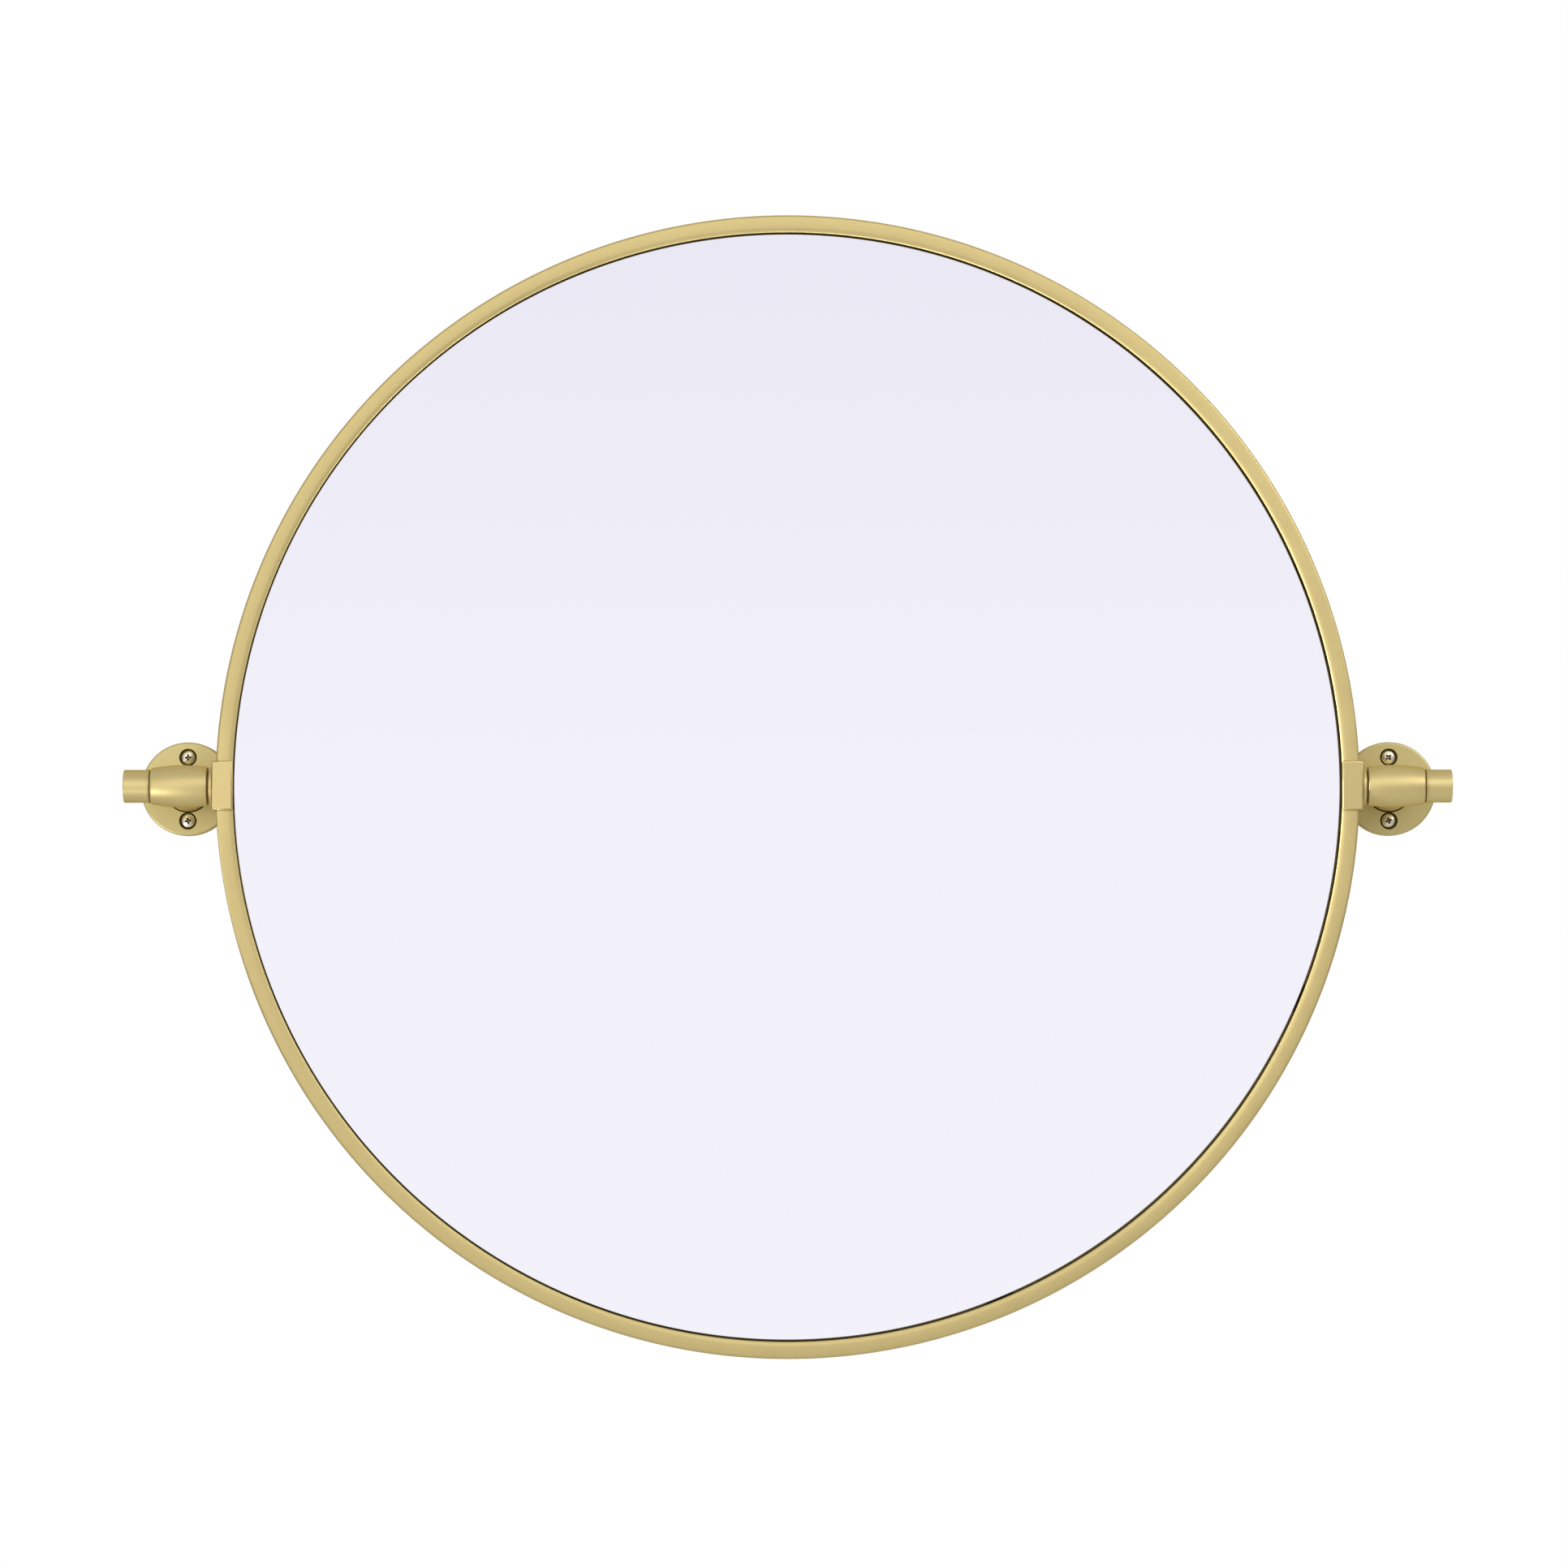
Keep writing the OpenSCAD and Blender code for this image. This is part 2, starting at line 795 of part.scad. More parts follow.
side_block(LEFT);  // left_side_block
block_screws(LEFT);  // left_block_screws
pivot_shaft(LEFT);  // left_pivot_shaft
collar(LEFT);  // left_collar
friction_washer(LEFT);  // left_friction_washer
bush(LEFT, barrel_in);  // left_inner_bush
bush(LEFT, barrel_out - bush_l);  // left_outer_bush
knuckle(LEFT);  // left_knuckle
post_screw(LEFT);  // left_post_screw
wall_plate(LEFT);  // left_wall_plate
wall_screws(LEFT);  // left_wall_screws
spring_washer(LEFT);  // left_spring_washer
thrust_washer(LEFT);  // left_thrust_washer
knob(LEFT);  // left_knob

side_block(RIGHT);  // right_side_block
block_screws(RIGHT);  // right_block_screws
pivot_shaft(RIGHT);  // right_pivot_shaft
collar(RIGHT);  // right_collar
friction_washer(RIGHT);  // right_friction_washer
bush(RIGHT, barrel_in);  // right_inner_bush
bush(RIGHT, barrel_out - bush_l);  // right_outer_bush
knuckle(RIGHT);  // right_knuckle
post_screw(RIGHT);  // right_post_screw
wall_plate(RIGHT);  // right_wall_plate
wall_screws(RIGHT);  // right_wall_screws
spring_washer(RIGHT);  // right_spring_washer
thrust_washer(RIGHT);  // right_thrust_washer
knob(RIGHT);  // right_knob
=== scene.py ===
"""The looks of a pivot wall mirror in satin gold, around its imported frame.

Metres. The wall is the plane y = 0, the room lies towards -Y, +X is right and +Z is up.
A height h is measured from the wall towards the room, so h = -y.
"""
import math

import bmesh
import bpy
import numpy as np
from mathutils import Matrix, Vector


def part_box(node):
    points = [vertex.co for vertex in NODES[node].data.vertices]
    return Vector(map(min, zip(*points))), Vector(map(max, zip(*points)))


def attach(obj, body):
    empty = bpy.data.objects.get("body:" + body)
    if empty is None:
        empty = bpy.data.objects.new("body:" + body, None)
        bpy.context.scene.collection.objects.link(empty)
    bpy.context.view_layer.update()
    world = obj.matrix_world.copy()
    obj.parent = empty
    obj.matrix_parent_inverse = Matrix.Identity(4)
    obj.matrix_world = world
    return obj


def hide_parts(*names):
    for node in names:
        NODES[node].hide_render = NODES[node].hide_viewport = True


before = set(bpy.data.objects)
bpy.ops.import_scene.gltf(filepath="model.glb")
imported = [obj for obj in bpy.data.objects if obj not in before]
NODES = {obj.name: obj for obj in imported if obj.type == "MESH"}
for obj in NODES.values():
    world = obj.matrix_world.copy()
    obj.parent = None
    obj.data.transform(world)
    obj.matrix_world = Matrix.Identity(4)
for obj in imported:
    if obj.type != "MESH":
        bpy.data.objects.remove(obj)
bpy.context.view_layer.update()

MM = 0.001
SIDES = {"left": -1, "right": 1}


# ---- Sizes: places come from the frame's boxes, and small roundings have their own names ----

def reach(node, axis):
    """Lowest and highest place of a CAD node along one axis."""
    low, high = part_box(node)
    return low[axis], high[axis]


# The frame ring: its outside and depth, the width and crown of its face, the arc and slope that
# lead down to the inner lip, the roundings of lip and outer edges, and the shafts' bores
RING_R = reach("frame_ring", 0)[1]
RING_BACK, RING_FRONT = sorted(-y for y in reach("frame_ring", 1))
RING_FACE = 9.3 * MM
RING_IN_R = RING_R - RING_FACE
RING_CROWN = 40.0 * MM
LIP_SWEEP = 6.0 * MM
LIP_SLOPE = math.radians(25.0)
LIP_R = 0.9 * MM
RING_EDGE = 1.4 * MM
RING_BORE_R = 3.02 * MM
RING_BORE_IN = RING_IN_R + 1.2 * MM
# The bores behind it for the screws of the side blocks
BLOCK_SCREW_X = sum(reach("right_block_screws", 0)) / 2
BLOCK_SCREW_R = 1.52 * MM
BLOCK_SCREW_HEAD_R = 2.7 * MM
BLOCK_SCREW_Z = reach("right_block_screws", 2)[1] - BLOCK_SCREW_HEAD_R
BORE_GAP = 0.02 * MM
BLOCK_SCREW_TIP = BORE_GAP - reach("right_block_screws", 1)[0]

# The glass lies a little beside the ring's middle, and its front edge is ground round
GLASS_X = sum(reach("mirror_glass", 0)) / 2
GLASS_R = reach("mirror_glass", 0)[1] - GLASS_X
GLASS_BACK, GLASS_FRONT = sorted(-y for y in reach("mirror_glass", 1))
GLASS_EDGE = 0.5 * MM

# The pivot: its height off the wall, the shaft's journal and thread, and the gap round them
PIVOT_H = -sum(reach("right_collar", 1)) / 2
SHAFT_R = 4.0 * MM
THREAD_R = 3.0 * MM
RUN_GAP = 0.04 * MM

# The collar's ends, measured out from the mirror's middle, its radius and rounded edges
COLLAR_IN, COLLAR_OUT = reach("right_collar", 0)
COLLAR_R = reach("right_collar", 2)[1]
COLLAR_ROUND = 0.6 * MM

# The knob: its ends, the bead at its mouth, its rounded edges, the dome of its end and the metal
# between that end and its bore
KNOB_IN, KNOB_OUT = reach("right_knob", 0)
KNOB_BEAD_R = reach("right_knob", 2)[1]
KNOB_BEAD_PROUD = 0.2 * MM
KNOB_R = KNOB_BEAD_R - KNOB_BEAD_PROUD
KNOB_BEAD_L = 0.8 * MM
KNOB_BEAD_ROUND = 0.35 * MM
KNOB_MOUTH = 0.3 * MM
KNOB_EDGE = 0.5 * MM
KNOB_DOME = 150.0 * MM
KNOB_FLOOR = 2.6 * MM

# The barrel: its ends, its radius at its widest, the long arc along it, its rounded ends, and a
# bore with a seat for a bush at both ends
BARREL_IN, BARREL_OUT = reach("right_knuckle", 0)
BARREL_R = -reach("right_knuckle", 1)[0] - PIVOT_H
BARREL_CURVE = 93.0 * MM
BARREL_WIDEST = BARREL_IN + 12.8 * MM
BARREL_SHOULDER = 1.6 * MM
BARREL_EDGE = 0.6 * MM
BUSH_L = 10.0 * MM
BUSH_SEAT_R = 5.56 * MM
BARREL_BORE_R = 4.79 * MM

# The wall plate, with the post on its middle
POST_X = sum(reach("right_wall_plate", 0)) / 2
PLATE_H = -reach("right_wall_plate", 1)[0]
PLATE_R = reach("right_wall_plate", 2)[1]
PLATE_ROUND = 1.1 * MM
# The post: a chamfered foot, a slight taper up to the pivot's height, its radius where it would
# meet the barrel, and the bore for its screw
POST_FOOT = PLATE_H + 0.4 * MM
POST_FOOT_R = 12.1 * MM
POST_TOP_R = 10.5 * MM
POST_MEET_R = 10.62 * MM
POST_BORE_R = 3.02 * MM
POST_BORE_END = PLATE_H + 16.02 * MM
# The fillet from post to barrel: the height where it leaves the post's flank, how far it runs
# beyond the post along the barrel and round it, and how deep in the barrel the post is closed
FLARE_START = 43.0 * MM
FLARE_ALONG = 2.4 * MM
FLARE_ROUND = 3.6 * MM
FLARE_BACK = 0.3 * MM
# How far the fillet's handles reach, as a share of the way from its start to its end
FLARE_PULL = 0.37
# The post's lid inside the barrel, as shares of its radius
LID_SHARES = (0.95, 0.6, 0.3, 0)

# The wall screws: the head's place, radius and top, its seat, edge and dome, and the neck
SCREW_X = sum(reach("right_wall_screws", 0)) / 2
SCREW_R = 3.65 * MM
SCREW_TOP = -reach("right_wall_screws", 1)[0]
SCREW_Z = reach("right_wall_screws", 2)[1] - SCREW_R
SCREW_SEAT = 2.4 * MM
SCREW_EDGE = 0.35 * MM
SCREW_DOME = 8.0 * MM
SCREW_NECK_R = 2.3 * MM
# Their thread, which runs out into a point
SCREW_TIP = -reach("right_wall_screws", 1)[1]
SCREW_POINT = 5.0 * MM
SCREW_CREST_R = 2.0 * MM
SCREW_ROOT_R = 1.45 * MM
SCREW_PITCH = 1.8 * MM
# The thread ends this far behind the wall plates
THREAD_END = 0.3 * MM
# Rows of the head's crown, as shares of the way from its edge to the cross
CROWN_SHARES = np.linspace(0.25, 1, 6)
# The cross recess: half the width of its arms, their reach, its depth and the point of its floor
CROSS_ARM = 0.52 * MM
CROSS_LONG = 1.75 * MM
CROSS_DEPTH = 1.7 * MM
CROSS_POINT = 0.25 * MM
# The cross's floor as shares of its mouth: how wide and how long its arms are
CROSS_FLOOR_ARM = 0.7
CROSS_FLOOR_LONG = 0.45
# How far each screw is turned, in degrees, as they were driven by hand
SCREW_TURNS = {"left": (12.0, 3.0), "right": (18.0, 42.0)}

# Holes in a plate: for the wall screws, with a recess for the head, and for the post's screw
RECESS_MOUTH_R = 4.8 * MM
RECESS_R = 4.2 * MM
RECESS_CHAMFER = 0.6 * MM
RECESS_FLOOR = 2.4 * MM
SCREW_HOLE_R = 2.6 * MM
SINK_R = 6.9 * MM
SINK_HOLE_R = 3.1 * MM
# The rounding of an edge that is only broken
BROKEN_EDGE = 0.1 * MM
# How far a drill reaches past what it bores
DRILL_PAST = 1.0 * MM

# The painted shade on a recess's chamfer starts this far below the plate's face and ends past its
# foot
RECESS_SHADE_TOP = 0.14 * MM
CHAMFER_PAST = 0.05 * MM
# The painted shade on its floor reaches this far up and down, with an unshaded margin round it
FLOOR_BAND = 0.3 * MM
FLOOR_UNSHADED = 0.1 * MM
# The painted shade at the seam where the post stands on the plate: its width, and how far it
# reaches below the plate's face
SEAM_WIDTH = 0.7 * MM
SEAM_BELOW = 0.5 * MM
# A cross recess is painted dark as shade between two heights and within a radius, but for the
# middle of its floor
CROSS_DARK = (SCREW_TOP - 2.2 * MM, SCREW_TOP - 0.5 * MM)
CROSS_DARK_R = 2.0 * MM
CROSS_BRIGHT_R = 0.4 * MM
# Widths of the soft edges of these places, round them and then up and down
CHAMFER_SOFT = (0.02 * MM, 0.06 * MM)
FLOOR_SOFT = (0.03 * MM, 0.1 * MM)
SEAM_SOFT = (0.2 * MM, 0.2 * MM)
CROSS_SOFT = (0.1 * MM, 0.12 * MM)
CROSS_BRIGHT_SOFT = 0.15 * MM

# Points along fine edges, edges, roundings and the longer curves
FINE_POINTS = 6
EDGE_POINTS = 7
ROUND_POINTS = 9
CROWN_POINTS = 13
BARREL_POINTS = 25
FLARE_POINTS = 17
CROSS_POINTS = 5
THREAD_ROWS = 230
# Steps round a turned piece, round the ring and its glass, and round each kind of hole
TURN_STEPS = 160
RING_STEPS = 720
HOLE_STEPS = 96
SHAFT_BORE_STEPS = 48
SCREW_BORE_STEPS = 32

# Points closer than this are one, and edges sharper than this stay sharp
MERGE_GAP = 0.0005 * MM
SHARP_ANGLE = math.radians(35.0)
# A face of the glass is its flat front when its normal's part towards the room is above this
FACE_ON = 0.99999


# ---- Camera ----

CAMERA_AT = (0.0234, -3.570, -0.0997)
CAMERA_AIM = (-0.0017, -0.070, 0.0009)
CAMERA_LENS = 150.86
CAMERA_SENSOR = 36.0
CAMERA_CLIP = (0.1, 50.0)


def set_camera():
    """The photograph's view: a long lens from a little right of the middle and below it."""
    data = bpy.data.cameras.new("front_camera")
    data.sensor_width = CAMERA_SENSOR
    data.lens = CAMERA_LENS
    data.clip_start, data.clip_end = CAMERA_CLIP
    camera = bpy.data.objects.new("front_camera", data)
    bpy.context.scene.collection.objects.link(camera)
    camera.location = CAMERA_AT
    aim = Vector(CAMERA_AIM) - Vector(CAMERA_AT)
    camera.rotation_mode = "QUATERNION"
    camera.rotation_quaternion = aim.to_track_quat("-Z", "Y")
    bpy.context.scene.camera = camera


set_camera()


# ---- Materials ----

def linear(colour):
    """A colour as seen on a screen, 0 to 255, in linear light."""
    c = np.asarray(colour, float) / 255
    low = c / 12.92
    high = ((c + 0.055) / 1.055) ** 2.4
    return tuple(np.where(c <= 0.04045, low, high)) + (1.0,)


# Each gold as the two shades that its mottle drifts between
GOLD = (linear((220, 199, 137)), linear((227, 208, 146)))
GOLD_PLATE = (linear((216, 200, 139)), linear((223, 209, 148)))
GOLD_TURNED = (linear((225, 205, 142)), linear((232, 214, 151)))
# The tint of gold seen at a grazing angle, and the brown of the painted shade in the screw
# recesses and at the posts' feet
GOLD_GRAZED = linear((224, 196, 132))
PAINTED_SHADE_BROWN = linear((58, 44, 14))
PALE_GOLD = linear((254, 247, 220))
# The colour of the painted shade in the screws' cross recesses
CROSS_SHADE_COLOUR = linear((34, 24, 8))
STEEL = linear((206, 204, 200))

# Cells a metre of the mottle and the grain in gold, and of the grain on plated steel
GOLD_MOTTLE = 55.0
GOLD_GRAIN = 2600.0
STEEL_GRAIN = 2200.0
# How far the mottle and the grain shift gold's roughness, and the grain that of steel
MOTTLE_SHIFT = 0.03
GRAIN_SHIFT = 0.02
STEEL_SHIFT = 0.05
# Brush or lathe marks: cells a metre, and their weight against the grain
GOLD_MARKS = (3400.0, 1.4)
STEEL_MARKS = (4200.0, 1.6)

# Axes that marks run round: a point on the axis, and which way it lies
RING_AXIS = ((0.0, 0.0, 0.0), 1)
PIVOT_AXIS = ((0.0, -PIVOT_H, 0.0), 0)


class Nodes:
    """A node tree and short ways to add to it. A value is a number, a colour or a socket."""

    def __init__(self, tree):
        self.tree = tree

    def node(self, kind, **settings):
        """A new node of a kind, with its settings."""
        made = self.tree.nodes.new(kind)
        for key, value in settings.items():
            setattr(made, key, value)
        return made

    def feed(self, socket, value):
        """Set a socket to a plain value, or wire it to the socket that its value comes from."""
        if isinstance(value, bpy.types.NodeSocket):
            self.tree.links.new(value, socket)
        else:
            socket.default_value = value

    def calc(self, operation, *values):
        """What a sum, a product or another operation makes of the values."""
        made = self.node("ShaderNodeMath", operation=operation)
        for socket, value in zip(made.inputs, values):
            self.feed(socket, value)
        return made.outputs[0]

    def length(self, a, b):
        """The square root of a^2 + b^2."""
        squares = [self.calc("MULTIPLY", side, side) for side in (a, b)]
        return self.calc("SQRT", self.calc("ADD", *squares))

    def parts(self, vector):
        """The three parts of a vector."""
        split = self.node("ShaderNodeSeparateXYZ")
        self.feed(split.inputs[0], vector)
        return [split.outputs[i] for i in range(3)]

    def span(self, value, start, end, low=0.0, high=1.0, curve="LINEAR"):
        """The range start to end carried to low to high, and held there past both ends."""
        made = self.node("ShaderNodeMapRange", interpolation_type=curve)
        self.feed(made.inputs["Value"], value)
        self.feed(made.inputs["From Min"], start)
        self.feed(made.inputs["From Max"], end)
        self.feed(made.inputs["To Min"], low)
        self.feed(made.inputs["To Max"], high)
        return made.outputs["Result"]

    def below(self, value, limit, soft):
        """1 where the value is well below the limit, 0 above it, with a soft step between."""
        return self.span(value, limit - soft, limit + soft, 1.0, 0.0, curve="SMOOTHSTEP")

    def within(self, value, low, high, soft):
        """1 where the value lies between two limits, with soft steps at both."""
        above_low = self.calc("SUBTRACT", 1.0, self.below(value, low, soft))
        return self.calc("MULTIPLY", above_low, self.below(value, high, soft))

    def mix(self, factor, first, second):
        """The first colour at factor 0, the second at 1."""
        made = self.node("ShaderNodeMix", data_type="RGBA")
        self.feed(made.inputs["Factor"], factor)
        self.feed(made.inputs["A"], first)
        self.feed(made.inputs["B"], second)
        return made.outputs["Result"]


class Finish(Nodes):
    """A material whose patterns lie on Object coordinates, with its Principled shader."""

    def __init__(self, name, colour, metallic, roughness):
        self.material = bpy.data.materials.new(name)
        self.material.use_nodes = True
        super().__init__(self.material.node_tree)
        self.shader = self.tree.nodes["Principled BSDF"]
        self.set("Base Color", colour)
        self.set("Metallic", metallic)
        self.set("Roughness", roughness)
        self.place = self.node("ShaderNodeTexCoord").outputs["Object"]

    def set(self, name, value):
        """Feed one of the shader's own sockets."""
        self.feed(self.shader.inputs[name], value)

    def noise(self, cells, detail=3.0, rough=0.5, place=None):
        """Noise from 0 to 1 with so many cells a metre."""
        made = self.node("ShaderNodeTexNoise")
        self.feed(made.inputs["Scale"], cells)
        self.feed(made.inputs["Detail"], detail)
        self.feed(made.inputs["Roughness"], rough)
        self.feed(made.inputs["Vector"], self.place if place is None else place)
        return made.outputs["Fac"]

    def between(self, factor, low, high):
        """The factor 0 to 1 carried to the range low to high."""
        return self.span(factor, 0.0, 1.0, low, high)

    def marked(self, grain, marks_about, marks):
        """The grain with marks laid over it that run round an axis, where there is one."""
        if marks_about is None:
            return grain
        cells, weight = marks
        lines = self.noise(cells, detail=1.0, place=round_axis(self, *marks_about))
        return self.calc("ADD", grain, self.calc("MULTIPLY", lines, weight))

    def bump(self, height, distance, strength):
        """Relief in the shading alone, as deep as the distance."""
        made = self.node("ShaderNodeBump")
        self.feed(made.inputs["Distance"], distance)
        self.feed(made.inputs["Strength"], strength)
        self.feed(made.inputs["Height"], height)
        self.set("Normal", made.outputs["Normal"])


def round_axis(finish, middle, along):
    """The place as (distance from an axis, place along it), the way that a lathe sees it."""
    shift = finish.node("ShaderNodeVectorMath", operation="SUBTRACT")
    finish.feed(shift.inputs[0], finish.place)
    finish.feed(shift.inputs[1], middle)
    axes = finish.parts(shift.outputs[0])
    height = axes.pop(along)
    joined = finish.node("ShaderNodeCombineXYZ")
    finish.feed(joined.inputs[0], finish.length(*axes))
    finish.feed(joined.inputs[1], height)
    return joined.outputs[0]


def round_line(finish, x, z):
    """A place's distance from the line through (x, z) square to the wall, or from that line's
    mirror images left and below, and its height off the wall."""
    across, depth, up = finish.parts(finish.place)
    across = finish.calc("SUBTRACT", finish.calc("ABSOLUTE", across), x)
    up = finish.calc("SUBTRACT", finish.calc("ABSOLUTE", up), z)
    return finish.length(across, up), finish.calc("MULTIPLY", depth, -1.0)


def puck(finish, place, radius, heights, softness):
    """1 within a radius of the line and between two heights. The softness is how wide the edges
    are, first round the line and then up and down."""
    distance, height = place
    round_soft, height_soft = softness
    return finish.calc("MULTIPLY", finish.within(height, *heights, height_soft),
                       finish.below(distance, radius, round_soft))


def recess_painted_shade(finish):
    """Painted shade: the chamfer and floor of the recesses for the wall screws' heads are darkened
    to brown, standing for the shade in them. The side of a recess, between them, is left gold and
    lights the head."""
    place = round_line(finish, SCREW_X, SCREW_Z)
    # Painted shade on the chamfer, and below on the floor
    chamfer = puck(finish, place, RECESS_MOUTH_R,
                   (PLATE_H - RECESS_CHAMFER - CHAMFER_PAST, PLATE_H - RECESS_SHADE_TOP), CHAMFER_SOFT)
    floor = puck(finish, place, RECESS_R - FLOOR_UNSHADED,
                 (RECESS_FLOOR - FLOOR_BAND, RECESS_FLOOR + FLOOR_BAND), FLOOR_SOFT)
    return finish.calc("ADD", chamfer, floor)


def seam_painted_shade(finish):
    """Painted shade: a dark band where a post's foot meets its plate, on both of them."""
    return puck(finish, round_line(finish, POST_X, 0.0), POST_FOOT_R + SEAM_WIDTH,
                (PLATE_H - SEAM_BELOW, PLATE_H + SEAM_WIDTH), SEAM_SOFT)


def satin_gold(name, roughness, golds=GOLD, marks_about=None, shade_masks=()):
    """Brass brushed to a satin and lacquered. A soft mottle shifts its colour and gloss, a fine
    grain breaks up its shine, marks_about adds faint brush marks that run round an axis, and
    shade_masks paint shade in brown on the places that they pick out."""
    finish = Finish(name, golds[1], metallic=1.0, roughness=roughness)
    finish.set("Specular Tint", GOLD_GRAZED)
    mottle = finish.noise(GOLD_MOTTLE, detail=2.0)
    colour = finish.mix(mottle, *golds)
    # Painted shade: each mask darkens the gold towards brown
    for painted_mask in shade_masks:
        colour = finish.mix(painted_mask(finish), colour, PAINTED_SHADE_BROWN)
    finish.set("Base Color", colour)
    grain = finish.noise(GOLD_GRAIN, detail=2.0, rough=0.6)
    height = finish.marked(grain, marks_about, GOLD_MARKS)
    drift = finish.between(mottle, roughness - MOTTLE_SHIFT, roughness + MOTTLE_SHIFT)
    shimmer = finish.between(grain, -GRAIN_SHIFT, GRAIN_SHIFT)
    finish.set("Roughness", finish.calc("ADD", drift, shimmer))
    finish.bump(height, distance=0.001 * MM, strength=0.5)
    return finish.material


def silvered_glass():
    """The silvering seen through clear glass, a little blue."""
    finish = Finish("silvered_glass", linear((250, 249, 254)), metallic=1.0, roughness=0.0)
    haze = finish.noise(cells=9.0, detail=2.0)
    finish.set("Roughness", finish.between(haze, 0.0, 0.015))
    return finish.material


def ground_edge():
    """The pencil-ground edge of the glass, painted olive as a reflection of the gold beside it,
    with a silky sheen.
    """
    finish = Finish("ground_edge", linear((104, 98, 66)), metallic=0.8, roughness=0.3)
    grain = finish.noise(cells=1800.0, detail=2.0)
    finish.set("Base Color", finish.mix(grain, linear((92, 86, 56)), linear((116, 110, 76))))
    finish.bump(grain, distance=0.002 * MM, strength=0.4)
    return finish.material


def bright_steel(name, roughness, marks_about=None):
    """Plated or turned steel, with fine marks round its axis where it is turned."""
    finish = Finish(name, STEEL, metallic=1.0, roughness=roughness)
    grain = finish.noise(STEEL_GRAIN, detail=2.0)
    finish.set("Roughness", finish.between(grain, roughness - STEEL_SHIFT,
                                           roughness + STEEL_SHIFT))
    finish.bump(finish.marked(grain, marks_about, STEEL_MARKS), distance=0.004 * MM, strength=0.5)
    return finish.material


def plated_screw():
    """Pale gold plating, with painted shade in its cross recess but for the middle of its floor.
    """
    finish = Finish("plated_screw", PALE_GOLD, metallic=0.85, roughness=0.32)
    place = round_line(finish, SCREW_X, SCREW_Z)
    # Painted shade in the cross recess
    cross = puck(finish, place, CROSS_DARK_R, CROSS_DARK, CROSS_SOFT)
    middle = finish.below(place[0], CROSS_BRIGHT_R, CROSS_BRIGHT_SOFT)
    dark = finish.calc("MULTIPLY", cross, finish.calc("SUBTRACT", 1.0, middle))
    finish.set("Base Color", finish.mix(dark, PALE_GOLD, CROSS_SHADE_COLOUR))
    grain = finish.noise(STEEL_GRAIN, detail=2.0)
    finish.set("Roughness", finish.between(grain, 0.28, 0.36))
    finish.bump(grain, distance=0.004 * MM, strength=0.5)
    return finish.material


def sintered_bronze():
    """Sintered bronze, full of fine dark pores."""
    finish = Finish("sintered_bronze", linear((168, 128, 82)), metallic=1.0, roughness=0.45)
    pores = finish.noise(cells=3000.0, rough=0.7)
    finish.set("Base Color", finish.mix(pores, linear((120, 86, 52)), linear((186, 146, 96))))
    finish.bump(pores, distance=0.01 * MM, strength=0.5)
    return finish.material


def brown_nylon():
    """Dark brown nylon with a faint matt grain."""
    finish = Finish("brown_nylon", linear((118, 94, 50)), metallic=0.0, roughness=0.5)
    grain = finish.noise(cells=1600.0)
    finish.set("Roughness", finish.between(grain, 0.42, 0.6))
    finish.bump(grain, distance=0.01 * MM, strength=0.4)
    return finish.material


def black_board():
    """Black-faced fibreboard: a matt paper face over fine fibres."""
    finish = Finish("black_board", linear((38, 37, 36)), metallic=0.0, roughness=0.75)
    fibre = finish.noise(cells=420.0, detail=5.0, rough=0.65)
    cloud = finish.noise(cells=14.0)
    blend = finish.calc("ADD", finish.calc("MULTIPLY", fibre, 0.6),
                        finish.calc("MULTIPLY", cloud, 0.4))
    finish.set("Base Color", finish.mix(blend, linear((26, 25, 24)), linear((54, 52, 50))))
    finish.set("Roughness", finish.between(cloud, 0.66, 0.84))
    finish.bump(fibre, distance=0.06 * MM, strength=0.5)
    return finish.material


def foam_tape():
    """White closed-cell foam."""
    finish = Finish("foam_tape", linear((232, 232, 224)), metallic=0.0, roughness=0.85)
    bubbles = finish.node("ShaderNodeTexVoronoi")
    finish.feed(bubbles.inputs["Scale"], 2500.0)
    finish.feed(bubbles.inputs["Vector"], finish.place)
    foam = bubbles.outputs["Distance"]
    finish.set("Base Color", finish.mix(foam, linear((214, 214, 206)), linear((238, 238, 230))))
    finish.bump(foam, distance=0.08 * MM, strength=0.5)
    return finish.material


def safety_film():
    """Grey-blue film bonded to the silvering."""
    finish = Finish("safety_film", linear((112, 124, 140)), metallic=0.0, roughness=0.3)
    ripple = finish.noise(cells=60.0)
    finish.set("Base Color", finish.mix(ripple, linear((104, 116, 132)), linear((120, 132, 148))))
    finish.bump(ripple, distance=0.05 * MM, strength=0.3)
    return finish.material


SATIN_GOLD = satin_gold("satin_gold", 0.40)
SATIN_GOLD_RING = satin_gold("satin_gold_ring", 0.46, marks_about=RING_AXIS)
SATIN_GOLD_TURNED = satin_gold("satin_gold_turned", 0.44, GOLD_TURNED, PIVOT_AXIS)
SATIN_GOLD_BLOCK = satin_gold("satin_gold_block", 0.34)
# The plates and the castings carry painted shade in their screw recesses and at the posts' feet
SATIN_GOLD_PLATE = satin_gold("satin_gold_plate", 0.42, GOLD_PLATE, shade_masks=(recess_painted_shade, seam_painted_shade))
SATIN_GOLD_CAST = satin_gold("satin_gold_cast", 0.47, GOLD_TURNED, PIVOT_AXIS, (seam_painted_shade,))
SILVERED_GLASS = silvered_glass()
GROUND_EDGE = ground_edge()
PLATED_STEEL = bright_steel("plated_steel", 0.32)
PLATED_SCREW = plated_screw()
TURNED_STEEL = bright_steel("turned_steel", 0.28, PIVOT_AXIS)
SINTERED_BRONZE = sintered_bronze()
BROWN_NYLON = brown_nylon()
BLACK_BOARD = black_board()
FOAM_TAPE = foam_tape()
SAFETY_FILM = safety_film()


# ---- Surfaces ----

def unit(v):
    """The vector made one long."""
    return v / np.linalg.norm(v)


